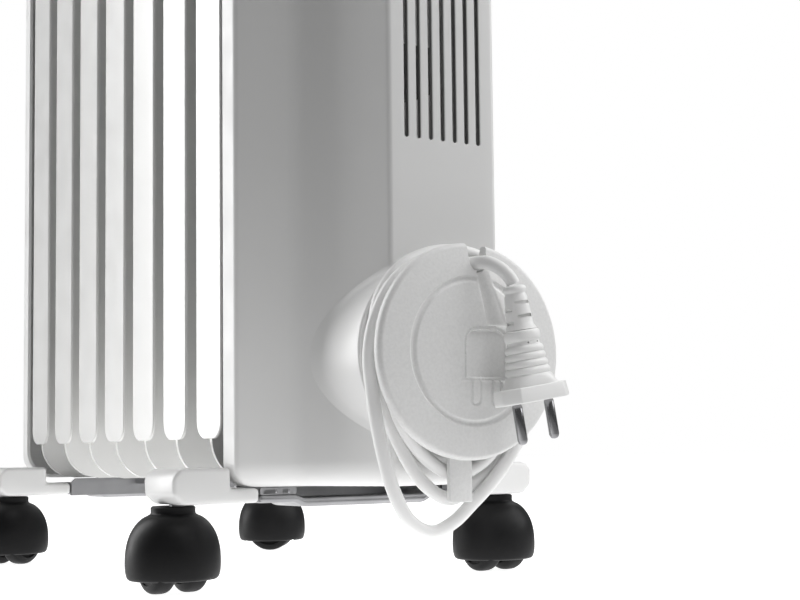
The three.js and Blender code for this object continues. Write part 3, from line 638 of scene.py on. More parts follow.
COVER_LINE = both_sides(HALF_PLAN)
COVER_POLYGON = np.array(COVER_LINE + [(-COVER_HALF, BEHIND_COVER), (COVER_HALF, BEHIND_COVER)])


def half_plane(points, first, second):
    """Distance above the sloping plane through two (ahead, z) places."""
    (a0, z0), (a1, z1) = first, second
    normal = np.array([z1 - z0, a0 - a1])
    normal = normal / np.linalg.norm(normal)
    return (points[:, 1] - a0) * normal[0] + (points[:, 2] - z0) * normal[1]


def cover_distance(points):
    plan = polygon_distance(points[:, :2], COVER_POLYGON)
    low = both(plan, COVER_BOTTOM - points[:, 2], BOTTOM_ROUND)
    lid = both(half_plane(points, BROW[0], BROW[1]), half_plane(points, BROW[1], BROW[2]), BROW_ROUND)
    lid = both(lid, points[:, 2] - COVER_TOP, BROW_ROUND)
    return np.maximum(low, both(plan, lid, TOP_ROUND))


def fan_sheet(distance, line, back, low, high, inset, tilts, levels):
    """Rows of rays from a spine behind a cover: a fan at each level, and a tilting fan at both ends."""
    azimuths = [math.atan2(a - back, x) for x, a in line]
    rows = [(low + inset, -t) for t in tilts[::-1]]
    rows += [(z, 0.0) for z in np.linspace(low + inset, high - inset, levels)]
    rows += [(high - inset, t) for t in tilts]
    origins = np.array([(0, back, z) for z, _ in rows for _ in azimuths])
    leans = [(math.cos(t), math.sin(t), turn) for _, t in rows for turn in azimuths]
    directions = np.array([(flat * math.cos(turn), flat * math.sin(turn), up) for flat, up, turn in leans])
    verts = [tuple(p) for p in cast(distance, origins, directions, RAY_REACH)]
    columns = len(azimuths)
    faces = quads(len(rows), columns)
    low_pole, high_pole = len(verts), len(verts) + 1
    verts += [(0, back, low), (0, back, high)]
    last = (len(rows) - 1) * columns
    for c in range(columns - 1):
        faces.append((low_pole, c + 1, c))
        faces.append((high_pole, last + c, last + c + 1))
    return verts, faces


def thicken(obj, millimetres):
    """Give an open sheet its wall, on the inner side."""
    solidify = obj.modifiers.new("wall", "SOLIDIFY")
    solidify.thickness = millimetres * MM
    solidify.offset = -1
    settle(obj)


def face_out(obj, centre):
    """Turn an open sheet's faces away from a point."""
    middle = Vector(place([centre])[0])
    vote = sum(math.copysign(f.area, (f.center - middle).dot(f.normal)) for f in obj.data.polygons)
    if vote < 0:
        obj.data.flip_normals()


COVER_TILTS = np.radians(np.concatenate([np.arange(2, 56, 1.5), np.arange(58, 90, 5)]))
COVER_INSET, COVER_WALL = 45, 2.5
cover_range = (COVER_RIM, COVER_BOTTOM, COVER_TOP, COVER_INSET)
cover = new_object("cover_shell", fan_sheet(cover_distance, COVER_LINE, *cover_range, COVER_TILTS, 12))
face_out(cover, (0, -100, 330))
thicken(cover, COVER_WALL)

VENTS, VENT_PITCH, VENT_HALF, VENT_LOW, VENT_HIGH = 7, 7.0, 1.15, 219.3, 345.0


def vent_cutter(x):
    rings = []
    for ahead, grow in ((RIDGE_AHEAD + 0.6, 0.95), (RIDGE_AHEAD - 0.35, 0), (RIDGE_AHEAD - 6, 0)):
        half = VENT_HALF + grow
        outline = rounded_rect(x - half, x + half, VENT_LOW - grow, VENT_HIGH + grow, half * 0.98, 6)
        rings.append([(px, ahead, pz) for px, pz in outline])
    return loft(rings)


cut(cover, merge(*(vent_cutter((i - (VENTS - 1) / 2) * VENT_PITCH) for i in range(VENTS))))


def paint_vent_shade():
    """Paint the side walls inside the vent slots dark grey: painted shade in the slots, not the white wall's
    own colour.
    """
    # a second, dark material for painted shade inside the vent slots
    cover.data.materials.append(INNER_GREY_AND_VENT_SHADE)
    back, front = FACE_Y - RIDGE_AHEAD + 2.4, FACE_Y - RIDGE_AHEAD + 0.4
    for face in cover.data.polygons:
        x, y, z = (v / MM for v in face.center)
        inside = VENT_LOW < z < VENT_HIGH and front < y < back and abs(x) < VENTS * VENT_PITCH / 2
        if inside and abs(face.normal.x) > 0.5:
            face.material_index = 1


# openings behind and through the control panel, for the knob's shaft, the lens and the two rockers
PANEL_LOW, PANEL_HIGH = corners("control_panel")
PANEL_FRONT = FACE_Y - PANEL_LOW[1]
KNOB_Z, KNOB_SHAFT = 532.0, 3
LENS_Z, LENS_HOLE = 486.0, 4.1
SWITCH_Z = (452.0, 424.0)
SWITCH_HALF, SWITCH_OPENING = 9.5, 8.6


def panel_openings(front, back, clearance):
    shapes = [rod(KNOB_SHAFT + clearance, back, front, KNOB_Z), rod(LENS_HOLE, back, front, LENS_Z)]
    half = SWITCH_HALF + 0.5
    for z in SWITCH_Z:
        opening = rounded_rect(-half, half, z - SWITCH_OPENING, z + SWITCH_OPENING, 0.8, 3)
        shapes.append(prism(opening, front, back))
    return merge(*shapes)


cut(cover, panel_openings(RIDGE_AHEAD + 2, RIDGE_AHEAD - 6, 1.5))

# ---------------------------------------------------------------- round seat behind the winder
SEAT_R, SEAT_AHEAD, SEAT_FLARE, SEAT_BLEND, SEAT_WALL = 50.0, -20.5, -0.07, 3.0, 1.2
SEAT_SINK, SINK_START = 0.35, 0.72
SEAT_ORIGIN = np.array([0.0, -60.0, WINDER_Z])


def seat_only(points):
    r = np.hypot(points[:, 0], points[:, 2] - WINDER_Z)
    flank = r - SEAT_R - (SEAT_AHEAD - points[:, 1]) * SEAT_FLARE
    return both(flank, points[:, 1] - SEAT_AHEAD, 1.2)


def seat_distance(points):
    return either(cover_distance(points), seat_only(points), SEAT_BLEND)


def seat_rays(turns, leans):
    flat = np.sin(leans)
    directions = np.column_stack([flat * np.sin(turns), np.cos(leans), flat * np.cos(turns)])
    return cast(seat_distance, np.tile(SEAT_ORIGIN, (len(turns), 1)), directions, 260)


def seat_sheet(count=160, flank_rows=24):
    """Rings of rays from inside the seat, out to where it has run into the cover and sinks below it."""
    turns = np.linspace(0, 2 * math.pi, count, endpoint=False)
    edge = math.atan2(SEAT_R, SEAT_AHEAD - SEAT_ORIGIN[1])
    low, high = np.full(count, edge + 0.01), np.full(count, math.radians(118))
    for _ in range(14):
        middle = (low + high) / 2
        clear = seat_only(seat_rays(turns, middle)) > SEAT_BLEND * 0.96
        high, low = np.where(clear, middle, high), np.where(clear, low, middle)
    rows = [np.full(count, edge * k) for k in (0.6, 0.8, 0.93)]
    rows += [np.full(count, edge + math.radians(k)) for k in (-1.6, -1.0, -0.5, 0, 0.5, 1.0)]
    rows += [(edge + 0.02) + (high - edge - 0.02) * (k / flank_rows) ** 0.8 for k in range(1, flank_rows + 1)]
    last = len(rows) - 1
    rings = []
    for index, lean in enumerate(rows):
        ring = seat_rays(turns, lean)
        late = max(0.0, (index - last * SINK_START) / (last * (1 - SINK_START)))
        inward = SEAT_ORIGIN - ring
        inward /= np.linalg.norm(inward, axis=1)[:, None]
        rings.append(ring + inward * SEAT_SINK * late**2)
    return [tuple(p) for p in np.vstack(rings)], quads(len(rows), count, True)


seat = new_object("winder_seat", seat_sheet())
face_out(seat, tuple(SEAT_ORIGIN))
thicken(seat, SEAT_WALL)
dress(cover, WHITE, "white_plastic", replaces=["front_cover"], sharp=28)
paint_vent_shade()
dress(seat, WHITE, "white_plastic", sharp=50)


# ---------------------------------------------------------------- winder plate
def ramp(value, low, high):
    """A smooth step from 0 at low to 1 at high."""
    t = np.clip((value - low) / (high - low), 0, 1)
    return t * t * (3 - 2 * t)


def rect_distance(x, z, x0, x1, z0, z1, radius):
    """Signed distance to a rectangle with round corners."""
    qx = np.abs(x - (x0 + x1) / 2) - (x1 - x0) / 2 + radius
    qz = np.abs(z - (z0 + z1) / 2) - (z1 - z0) / 2 + radius
    return np.minimum(np.maximum(qx, qz), 0) + np.hypot(np.maximum(qx, 0), np.maximum(qz, 0)) - radius


DOME = 3.5
RING_R, RING_HALF = 34.2, 1.7
TROUGH_LOW, TROUGH_HIGH = 127.3, 153.0
STORE_LEFT, STORE_RIGHT, STORE_LOW, STORE_HIGH = -5.3, 17.4, 102.3, 124.9
PRONG_MIDDLES, PRONG_HALF, PRONG_LOW = (0.1, 12.0), 2.9, 89.3
RING_DEPTH, LINE_DEPTH, LIP_DEPTH, GROOVE_DEPTH = 1.1, 0.6, 0.7, 0.8
EDGE = 0.45
RIM_ROUND, RIM_DROP = 2.6, 2.9


def plate_relief(x, z):
    """How deep the plate's front is pressed in: a ring, the cord's trough and a bed shaped like a plug."""
    r = np.hypot(x, z - WINDER_Z)
    u = (TROUGH_HIGH - z) / (TROUGH_HIGH - TROUGH_LOW)
    left, right = 2.4 + 4.8 * u, 8.6 + 10.0 * u
    across = np.clip((x - left) / (right - left), 0, 1)
    in_trough = ramp(x - left, -EDGE, EDGE) * ramp(right - x, -EDGE, EDGE)
    in_trough = in_trough * ramp(z - TROUGH_LOW, -EDGE, EDGE) * ramp(TROUGH_HIGH + 2 - z, 0, 2)
    trough = in_trough * (2.6 - 2.2 * ramp(across, 0.05, 1.0))
    ring = RING_DEPTH * (1 - ramp(np.abs(r - RING_R), RING_HALF * 0.35, RING_HALF)) * (1 - in_trough)
    beside = ramp(x - left, -3, 0) * ramp(z - 127, -2, 2) * (1 - in_trough) * ramp(right + 2 - x, 0, 2)
    ring = ring * (1 - beside)
    bed = rect_distance(x, z, STORE_LEFT, STORE_RIGHT, STORE_LOW - 6, STORE_HIGH, 6.5)
    bed = np.maximum(bed, STORE_LOW - z)
    hollow = np.clip((x - STORE_LEFT) / (STORE_RIGHT - STORE_LEFT), 0, 1)
    bed_depth = (1 - ramp(bed, -EDGE, EDGE)) * (0.55 + 1.5 * (1 - (2 * hollow - 1) ** 2))
    line = LINE_DEPTH * (1 - ramp(np.abs(bed - 1.1), 0.25, 0.8)) * (z > STORE_LOW - 0.4)
    lip = rect_distance(x, z, STORE_LEFT - 2.8, STORE_RIGHT + 2.8, STORE_LOW - 1.6, STORE_LOW, 0.5)
    depth = np.maximum.reduce([trough, ring, bed_depth, line, LIP_DEPTH * (1 - ramp(lip, -EDGE, EDGE))])
    for middle in PRONG_MIDDLES:
        left, right = middle - PRONG_HALF, middle + PRONG_HALF
        prong = rect_distance(x, z, left, right, PRONG_LOW, STORE_LOW, PRONG_HALF)
        groove = GROOVE_DEPTH * (1 - ramp(np.abs(prong + 0.4), 0.3, 0.9)) * (z < STORE_LOW - 1)
        depth = np.maximum(depth, groove)
    return depth


def plate_front(r):
    return DOME * (1 - (r / PLATE_R) ** 2)


def plate_shape(segments=360):
    """Rings over the front, round the rim and back to the middle of the flat rear face."""
    turns = np.linspace(0, 2 * math.pi, segments, endpoint=False)
    sines, cosines = np.sin(turns), np.cos(turns)
    radii = np.concatenate([[0.0], np.arange(0.6, PLATE_R - 2.7, 0.52)])
    verts = []
    for r in radii:
        x, z = r * sines, WINDER_Z + r * cosines
        verts += list(zip(x, plate_front(r) - plate_relief(x, z), z))
    edge_front = float(plate_front(PLATE_R - RIM_ROUND))
    outer = []
    for t in np.radians(np.arange(0, 91, 10)):
        r = PLATE_R - RIM_ROUND + RIM_ROUND * math.sin(t)
        outer.append((r, edge_front - RIM_DROP * (1 - math.cos(t))))
    outer += [(PLATE_R, PLATE_BACK + 0.8), (PLATE_R - 0.7, PLATE_BACK), (20, PLATE_BACK), (0, PLATE_BACK)]
    for r, a in outer:
        verts += [(r * s, a, WINDER_Z + r * c) for s, c in zip(sines, cosines)]
    return verts, quads(len(radii) + len(outer), segments, True)


NOTCH = [
    (-5.6, 169.5), (-3.6, 167.2), (-2.5, 165.6), (-2.1, 163.5), (-1.8, 159), (-1.4, 156.4), (-0.1, 154.3),
    (2.0, 152.9), (4.2, 152.6), (6.4, 153.2), (7.8, 154.9), (8.4, 157.4), (8.5, 162.5), (9.1, 165.2),
    (10.4, 167.0), (12.6, 169.5), (12.6, 175), (-5.6, 175),
]
plate = new_object("winder_disc", plate_shape())
cut(plate, prism(NOTCH, 12, -12))
dress(plate, DISC_WHITE, "white_plastic", replaces=["winder_plate"], sharp=40)


def block_outline(low, high, radius, count=8):
    """The front view of a CAD node's box, with round corners."""
    return rounded_rect(low[0], high[0], low[2], high[2], radius, count)


def ahead_range(low, high):
    """The front and the back of a CAD node's box, as ahead distances."""
    return FACE_Y - low[1], FACE_Y - high[1]


tongue_box = corners("cord_tongue")
tongue_shape = prism(block_outline(*tongue_box, 1.2, 4), *ahead_range(*tongue_box))
piece("tongue_strip", tongue_shape, DISC_WHITE, "white_plastic", (0.5, 3, 40), replaces=["cord_tongue"])


# ---------------------------------------------------------------- fins
FIN_COUNT = 7
FIN_LOW, FIN_HIGH = corners("fin_1")
FIN_HALF, FIN_BOTTOM, FIN_TOP = FIN_HIGH[0], FIN_LOW[2], FIN_HIGH[2]
FIN_CORNER, FOLD_DEPTH, FOLD_SHEET = 22.0, 29.0, 1.6
HUB_RISE, HUB_R, HUB_REACH = 30.0, 22.0, 21.35


def fin_skin(x, z):
    """Half the thickness of the pressed pair of sheets: the oil channel and its side beads."""
    channel = rect_distance(x, z, -23, 23, FIN_BOTTOM + 6, FIN_TOP - 6, 22.9)
    out = 1.2 + 8.3 * ramp(-channel, -1.0, 9.0)
    for side in (-1, 1):
        bead = rect_distance(x, z, side * 47 - 5, side * 47 + 5, FIN_BOTTOM + 60, FIN_TOP - 60, 4.9)
        out = out + 2.0 * ramp(-bead, -1.2, 3.6)
    return out


def fin_shape():
    """Front and back skins over one grid, closed at the rim."""
    half = FIN_HALF - FOLD_SHEET
    xs = np.concatenate([np.linspace(-half, -26, 22), np.linspace(-24, 24, 27), np.linspace(26, half, 22)])
    low_part = np.linspace(FIN_BOTTOM, FIN_BOTTOM + 40, 22)
    high_part = np.linspace(FIN_TOP - 40, FIN_TOP, 22)
    zs = np.concatenate([low_part, np.linspace(FIN_BOTTOM + 48, FIN_TOP - 48, 24), high_part])
    columns = len(xs)
    front, back = [], []
    for z in zs:
        rise = min(z - FIN_BOTTOM, FIN_TOP - z, FIN_CORNER)
        limit = half - FIN_CORNER + math.sqrt(max(0, FIN_CORNER**2 - (FIN_CORNER - rise) ** 2))
        x = xs * limit / half
        thick = fin_skin(x, np.full(columns, z))
        front += [(px, t, z) for px, t in zip(x, thick)]
        back += [(px, -t, z) for px, t in zip(x, thick)]
    faces = quads(len(zs), columns)
    count = len(front)
    faces += [tuple(i + count for i in reversed(f)) for f in faces]
    loop = [r * columns for r in range(len(zs))]
    loop += [(len(zs) - 1) * columns + c for c in range(1, columns)]
    loop += [r * columns + columns - 1 for r in range(len(zs) - 2, -1, -1)]
    loop += [c for c in range(columns - 2, 0, -1)]
    faces += [(p, q, q + count, p + count) for p, q in zip(loop, loop[1:] + loop[:1])]
    return front + back, faces


def fold_shape(side):
    """The fin's side, folded both ways into a lip whose corners are round."""
    top, bottom, depth = FIN_TOP - FIN_CORNER, FIN_BOTTOM + FIN_CORNER, FOLD_DEPTH / 2
    middle = (bottom + top) / 2
    inner = FIN_HALF - FOLD_SHEET
    rings = []
    for x, grow in ((inner, -0.5), (inner + 0.4, 0), (FIN_HALF - 0.5, 0), (FIN_HALF, -0.5)):
        wide, tall = 1 + grow / depth, 1 + grow / (top - middle)
        outline = rounded_rect(-depth, depth, bottom, top, 9, 8)
        rings.append([(side * x, a * wide, middle + (z - middle) * tall) for a, z in outline])
    return loft(rings)


def hub_shape(z):
    half = [(HUB_R, HUB_REACH - 2), (HUB_R - 0.6, HUB_REACH - 0.5), (HUB_R - 2, HUB_REACH), (0, HUB_REACH)]
    profile = [(r, -h) for r, h in reversed(half)] + half
    return moved(lathe(profile, 48), lambda x, y, h: (x, h, z + y))


for number in range(1, FIN_COUNT + 1):
    node = "fin_%d" % number
    middle = sum(ahead_range(*corners(node))) / 2
    shapes = [fin_shape(), fold_shape(-1), fold_shape(1)]
    shapes += [hub_shape(z) for z in (FIN_BOTTOM + HUB_RISE, FIN_TOP - HUB_RISE)]
    shape = moved(merge(*shapes), lambda x, a, z, m=middle: (x, a + m, z))
    piece("radiator_element_%d" % number, shape, ENAMEL, "enamel", replaces=[node], sharp=32)


# ---------------------------------------------------------------- rear cover
REAR_LOW, REAR_HIGH = corners("rear_cover")
REAR_FRONT, REAR_BACK = ahead_range(REAR_LOW, REAR_HIGH)
REAR_HALF = REAR_HIGH[0]
REAR_LINE = both_sides(
    fillet(
        [
            (REAR_HALF, REAR_FRONT), (REAR_HALF, REAR_BACK + 6.5), (REAR_HALF - 22, REAR_BACK),
            (40, REAR_BACK), (30, REAR_BACK + 3), (0, REAR_BACK + 3),
        ],
        [0, 5, 30, 2, 2, 0],
    )
)
REAR_POLYGON = np.array(REAR_LINE + [(-REAR_HALF, REAR_FRONT + 60), (REAR_HALF, REAR_FRONT + 60)])
REAR_TILTS = np.radians(np.concatenate([np.arange(2, 20, 2), np.arange(20, 88, 2)]))
REAR_INSET, REAR_WALL = 40, 2.0


def rear_distance(points):
    x, z = points[:, 0], points[:, 2]
    plan = polygon_distance(points[:, :2], REAR_POLYGON)
    ends = np.maximum(REAR_LOW[2] - z, z - REAR_HIGH[2])
    outline = rect_distance(x, z, -REAR_HALF, REAR_HALF, REAR_LOW[2], REAR_HIGH[2], 18.0)
    return np.maximum(both(plan, ends, 8.0), outline)


rear_range = (REAR_FRONT, REAR_LOW[2], REAR_HIGH[2], REAR_INSET)
rear = new_object("rear_shell", fan_sheet(rear_distance, REAR_LINE, *rear_range, REAR_TILTS, 10))
face_out(rear, (0, REAR_FRONT + 4, 330))
thicken(rear, REAR_WALL)
dress(rear, WHITE, "white_plastic", replaces=["rear_cover"], sharp=28)

# ---------------------------------------------------------------- handle
GRIP_HALF, GRIP_LOW, GRIP_HIGH, GRIP_ROUND = 46, 7, 31, 9
handle_box = corners("handle")
handle_front, handle_back = ahead_range(*handle_box)
handle_low = handle_box[0][2]
grip = new_object("carry_handle", prism(block_outline(*handle_box, 16, 10), handle_front, handle_back))
grip_hole = rounded_rect(-GRIP_HALF, GRIP_HALF, handle_low + GRIP_LOW, handle_low + GRIP_HIGH, GRIP_ROUND, 8)
cut(grip, prism(grip_hole, handle_front + 4, handle_back - 4))
soften(grip, 3.2, 4, 50)
dress(grip, WHITE, "white_plastic", replaces=["handle"], sharp=30)

# ---------------------------------------------------------------- control panel, knob, rockers and lens
panel_shape = prism(block_outline(PANEL_LOW, PANEL_HIGH, 9), *ahead_range(PANEL_LOW, PANEL_HIGH))
panel = new_object("control_fascia", panel_shape)
cut(panel, panel_openings(PANEL_FRONT + 2, PANEL_FRONT - 6, 1.0))
soften(panel, 0.6, 3, 50)
dress(panel, PANEL_GREY, "grey_panel", replaces=["control_panel"])

KNOB_LOW, KNOB_HIGH = corners("thermostat_knob")
KNOB_R, KNOB_HEIGHT, KNOB_GAP = 21.0, 16, 0.3
SCALE_MARKS, SCALE_R, SCALE_SWEEP = 11, 23.6, 270
FLUTES, FLUTE_DEPTH, FLUTE_RINGS = 36, 0.45, range(4, 8)


def scale_mark(index):
    """A raised dot of the printed scale; the dots grow clockwise."""
    angle = math.radians(-SCALE_SWEEP / 2 + SCALE_SWEEP * index / (SCALE_MARKS - 1))
    size = 0.45 + 0.06 * index
    x0, z0 = SCALE_R * math.sin(angle), SCALE_R * math.cos(angle)
    dot = lathe([(0, 0), (size, 0), (size, 0.18), (0, 0.18)], 16)
    return moved(dot, lambda x, y, h: (x + x0, PANEL_FRONT - 0.02 + h, KNOB_Z + y + z0))


scale_marks = merge(*(scale_mark(i) for i in range(SCALE_MARKS)))
piece("knob_scale_dots", scale_marks, MARK_WHITE, "white_plastic")


def knob_shape():
    back = PANEL_FRONT + KNOB_GAP
    front = back + KNOB_HEIGHT
    skirt = [(0.6, 0), (0, 0.6), (0.1, 2.2), (1.0, 3), (1.4, 6)]
    crown = [(2.2, 3), (2.8, 1.2), (4.2, 0.2), (6, 0)]
    profile = [(0, back)] + [(KNOB_R - inset, back + h) for inset, h in skirt]
    profile += [(KNOB_R - inset, front - h) for inset, h in crown] + [(0, front)]
    segments = 144
    verts, faces = lathe(profile, segments)
    out = []
    for i, (x, y, h) in enumerate(verts):
        factor = 1
        if i // segments in FLUTE_RINGS:
            flute = FLUTE_DEPTH * math.cos(FLUTES * 2 * math.pi * (i % segments) / segments)
            r = math.hypot(x, y)
            factor = (r - FLUTE_DEPTH + flute) / r
        out.append((x * factor, h, KNOB_Z + y * factor))
    return out, faces


knob = new_object("knob_cap", knob_shape())
bar_front = FACE_Y - KNOB_LOW[1]
bar_outline = rounded_rect(-3.0, 3.0, -16.8, 16.8, 2.8, 5)
bar_levels = ((bar_front - 6, 1.0), (bar_front - 0.8, 0.96), (bar_front, 0.86))
bar_rings = [[(x * w, a, KNOB_Z + z * w) for x, z in bar_outline] for a, w in bar_levels]
cut(knob, loft(bar_rings), operation="UNION")
cut(knob, rod(KNOB_SHAFT, FACE_Y - KNOB_HIGH[1], PANEL_FRONT + 1, KNOB_Z), operation="UNION")
dress(knob, WHITE, "white_plastic", body="knob", replaces=["thermostat_knob"], sharp=35)
pointer_shape = prism(rounded_rect(-0.5, 0.5, KNOB_Z + 6, KNOB_Z + 13.6, 0.45, 3), bar_front, bar_front - 1.0)
piece("knob_pointer", pointer_shape, PANEL_GREY, "grey_panel", body="knob")

SWITCH_PIN, SWITCH_R = -24.0, 7.4
REST_TILT = math.radians(-7)


def rocker_shape(z):
    """A rocker's side outline about its pin, carried across, with a shallow dished front."""
    outline = [(SWITCH_R, 1.0), (SWITCH_R, 4.3), (SWITCH_R - 0.3, 4.9)]
    for k in range(9):
        up = (SWITCH_R - 0.8) * (1 - k / 4)
        outline.append((up, 3.2 + 1.8 * (abs(up) / SWITCH_R) ** 1.4))
    outline += [(-SWITCH_R + 0.3, 4.9), (-SWITCH_R, 4.3), (-SWITCH_R, 1.0)]
    for k in range(1, 12):
        t = math.pi + math.pi * k / 12
        outline.append((SWITCH_R * math.cos(t), SWITCH_R * 0.9 * math.sin(t) + 1))
    c, s = math.cos(REST_TILT), math.sin(REST_TILT)
    tilted = [(SWITCH_PIN + (up * s + out * c), z + (up * c - out * s)) for up, out in outline]
    return loft([[(x, a, pz) for a, pz in tilted] for x in (-SWITCH_HALF, SWITCH_HALF)])


for label, z in zip(("low", "high"), SWITCH_Z):
    how = {"body": label + "_rocker", "replaces": ["heat_switch_" + label], "sharp": 30}
    piece(label + "_heat_rocker", rocker_shape(z), WHITE, "white_plastic", (0.35, 2, 50), **how)

lens_front = FACE_Y - corners("pilot_lens")[0][1]
lens_profile = smooth_profile([(3.7, -5), (3.7, -5), (3.7, -1.8), (3.4, -1.1), (2.2, -0.35), (0, 0)], 4)
lens_shape = moved(lathe(lens_profile[::-1] + [(0, -5)], 40), lambda x, y, h: (x, lens_front + h, LENS_Z + y))
piece("pilot_window", lens_shape, LENS_RED, "red_lens", replaces=["pilot_lens"])

# ---------------------------------------------------------------- casters
ENDS = {"front": 0, "rear": -55}  # how far each end's hoods are swivelled at rest, degrees
SIDES = {"left": -1, "right": 1}
TRAIL, WHEEL_R, WHEEL_HALF, WHEEL_OFFSET, WHEEL_ROOM = 5.0, 16.0, 5.5, 8.5, 1
HOOD_PROFILE = smooth_profile(
    [
        (0, 43), (10.2, 43), (10.2, 43), (11, 42.2), (11, 42.2), (11, 39.6), (12.2, 38.6), (15.2, 37),
        (18.6, 33.6), (21.4, 28.6), (23, 22.6), (23.47, 16.5), (23.3, 11.5), (22.6, 8.4), (21.6, 7.1),
        (20.4, 6.7), (20.4, 6.7), (0, 6.7),
    ],
    4,
)
# the wheel's half section, from its middle plane to its bore
WHEEL_SECTION = [
    (WHEEL_R, 0), (15.8, WHEEL_HALF - 2.6), (14.8, WHEEL_HALF - 0.9), (12.8, WHEEL_HALF),
    (11.8, WHEEL_HALF), (11.2, WHEEL_HALF - 0.8), (5.6, WHEEL_HALF - 0.6), (5.2, WHEEL_HALF),
    (2.8, WHEEL_HALF), (2.8, WHEEL_HALF),
]


def hood_mesh():
    """The hood about the stem's axis, wheels trailing towards +Y, with a well for each wheel."""
    shape = moved(lathe(HOOD_PROFILE, 96), lambda x, y, z: (x * MM, (y + TRAIL) * MM, z * MM))
    hood = new_object("hood_pattern", shape, metres=True)
    room = WHEEL_R + WHEEL_ROOM
    for side in SIDES.values():
        x0, x1 = side * (WHEEL_OFFSET - WHEEL_HALF - 0.5), side * (WHEEL_OFFSET + WHEEL_HALF + 0.5)
        ring = [(room * math.cos(t), WHEEL_R + room * math.sin(t)) for t in np.linspace(0, math.pi, 33)]
        ring += [(-room, -2), (room, -2)]
        wall = [[(x * MM, (TRAIL + y) * MM, z * MM) for y, z in ring] for x in sorted((x0, x1))]
        cut(hood, loft(wall), metres=True)
    mesh = hood.data
    bpy.data.objects.remove(hood)
    return mesh


def wheel_mesh():
    """A wheel about its own axle, which lies along X."""
    profile = smooth_profile([(r, -h) for r, h in WHEEL_SECTION[:0:-1]] + WHEEL_SECTION, 3)
    profile.append(profile[0])
    shape = moved(lathe(profile, 64), lambda x, y, z: (z * MM, x * MM, y * MM))
    return mesh_of("wheel_pattern", shape, metres=True)


def instance(name, mesh, matrix):
    obj = linked(name, mesh.copy())
    obj.data.transform(matrix)
    return obj


def caster(end, name, side):
    """A hood turned about its stem, with a wheel on each side."""
    label = end + "_" + name
    low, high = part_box(label + "_stem")
    stem = Matrix.Translation(((low[0] + high[0]) / 2, (low[1] + high[1]) / 2, 0))
    swivel = stem @ Matrix.Rotation(math.radians(-side * ENDS[end]), 4, "Z")
    hood = instance(label + "_caster_hood", HOOD_MESH, swivel)
    dress(hood, HOOD_BLACK, "caster_plastic", body=label + "_caster", replaces=[label + "_hood"], sharp=30)
    for which, offset in (("inner", -side * WHEEL_OFFSET), ("outer", side * WHEEL_OFFSET)):
        hub = swivel @ Matrix.Translation((offset * MM, TRAIL * MM, WHEEL_R * MM))
        wheel = instance(label + "_" + which + "_tyre", WHEEL_MESH, hub)
        node = label + "_" + which + "_wheel"
        dress(wheel, WHEEL_BLACK, "wheel_plastic", body=node, replaces=[node], sharp=32)


HOOD_MESH, WHEEL_MESH = hood_mesh(), wheel_mesh()
for end in ENDS:
    for name, side in SIDES.items():
        caster(end, name, side)

# ---------------------------------------------------------------- arms and brackets
ARM_STEP, ARM_SHELF = 77.5, 51.2
BAR_THICK, STRIP_THICK, STRIP_LIFT, STRIP_HIGH = 4.5, 4.0, 2.5, 47.5
BAR_HALF, BAR_BEND, STRAP_HALF = 36, 41, 61.5
STRAP_DEPTH = {"front": 34, "rear": 29.5}
FLANGE_BACK, FLANGE_HALF, FLANGE_WALL = 31.5, 60, 1.2
SHELF_LEFT, SHELF_RIGHT, SHELF_LOW, SHELF_HIGH = -16, 34, 49.6, 52.6
BOLT_X, BOLT_HOLE = 26, 3.6
TAB_INNER, TAB_OUTER, TAB_HOLES = 40.5, 61.0, ((44.4, 48.4), (51.6, 59.2))


def arm_piece(end, name, side):
    node = "%s_%s_arm" % (end, name)
    low, high = corners(node)
    inner, outer = (high[0], low[0]) if side < 0 else (low[0], high[0])
    step = side * ARM_STEP
    profile = [
        (inner, low[2]), (outer - side * 5, low[2]), (outer, low[2] + 5), (outer, high[2] - 4),
        (outer - side * 4, high[2]), (step, high[2]), (step, ARM_SHELF), (inner, ARM_SHELF),
    ]
    shape = prism(profile, *ahead_range(low, high))
    label = "%s_%s_caster_arm" % (end, name)
    piece(label, shape, WHITE, "white_plastic", (2.2, 4, 25), replaces=[node], sharp=30)


def bracket_piece(end):
    """The strap under an end fin: a bar with raised ends, an upright flange, and a shelf for the bolt."""
    node = end + "_bracket"
    low, high = corners(node)
    outward = 1 if end == "front" else -1
    outer, far = ahead_range(low, high)[::outward]
    bar_low = low[2]
    edge = [(-STRAP_HALF, STRIP_LIFT), (-BAR_BEND, STRIP_LIFT), (-BAR_HALF, 0)]
    edge = [(x, bar_low + lift) for x, lift in edge + [(-x, lift) for x, lift in reversed(edge)]]
    upper = [(x, z + (BAR_THICK if abs(x) == BAR_HALF else STRIP_THICK)) for x, z in edge]
    flange_ahead = outer - outward * FLANGE_BACK
    half, top = FLANGE_HALF, FIN_BOTTOM - 0.3
    flange_side = [(half, bar_low + 2), (half, top - 2.7), (half - 3, top)]
    flange = [(-half, bar_low + 2)] + flange_side + [(3 - half, top), (-half, top - 2.7)]
    shelf_ends = sorted((flange_ahead, far), reverse=True)
    strap = prism(edge + upper[::-1], outer, outer - outward * STRAP_DEPTH[end])
    bracket = new_object(end + "_foot_bracket", strap)
    soften(bracket, 1.6, 3, 20)
    cut(bracket, prism(flange, flange_ahead + FLANGE_WALL, flange_ahead - FLANGE_WALL), operation="UNION")
    cut(bracket, box_shape(SHELF_LEFT, SHELF_RIGHT, *shelf_ends, SHELF_LOW, SHELF_HIGH), operation="UNION")
    bolt_ahead = sum(ahead_range(*corners(end + "_hook_bolt"))) / 2
    hole = lathe([(0, 30), (BOLT_HOLE, 30), (BOLT_HOLE, 60), (0, 60)], 32)
    cut(bracket, moved(hole, lambda x, y, z: (x + BOLT_X, bolt_ahead + y, z)))
    dress(bracket, STEEL, "steel", replaces=[node], sharp=30)
    return outer, outward


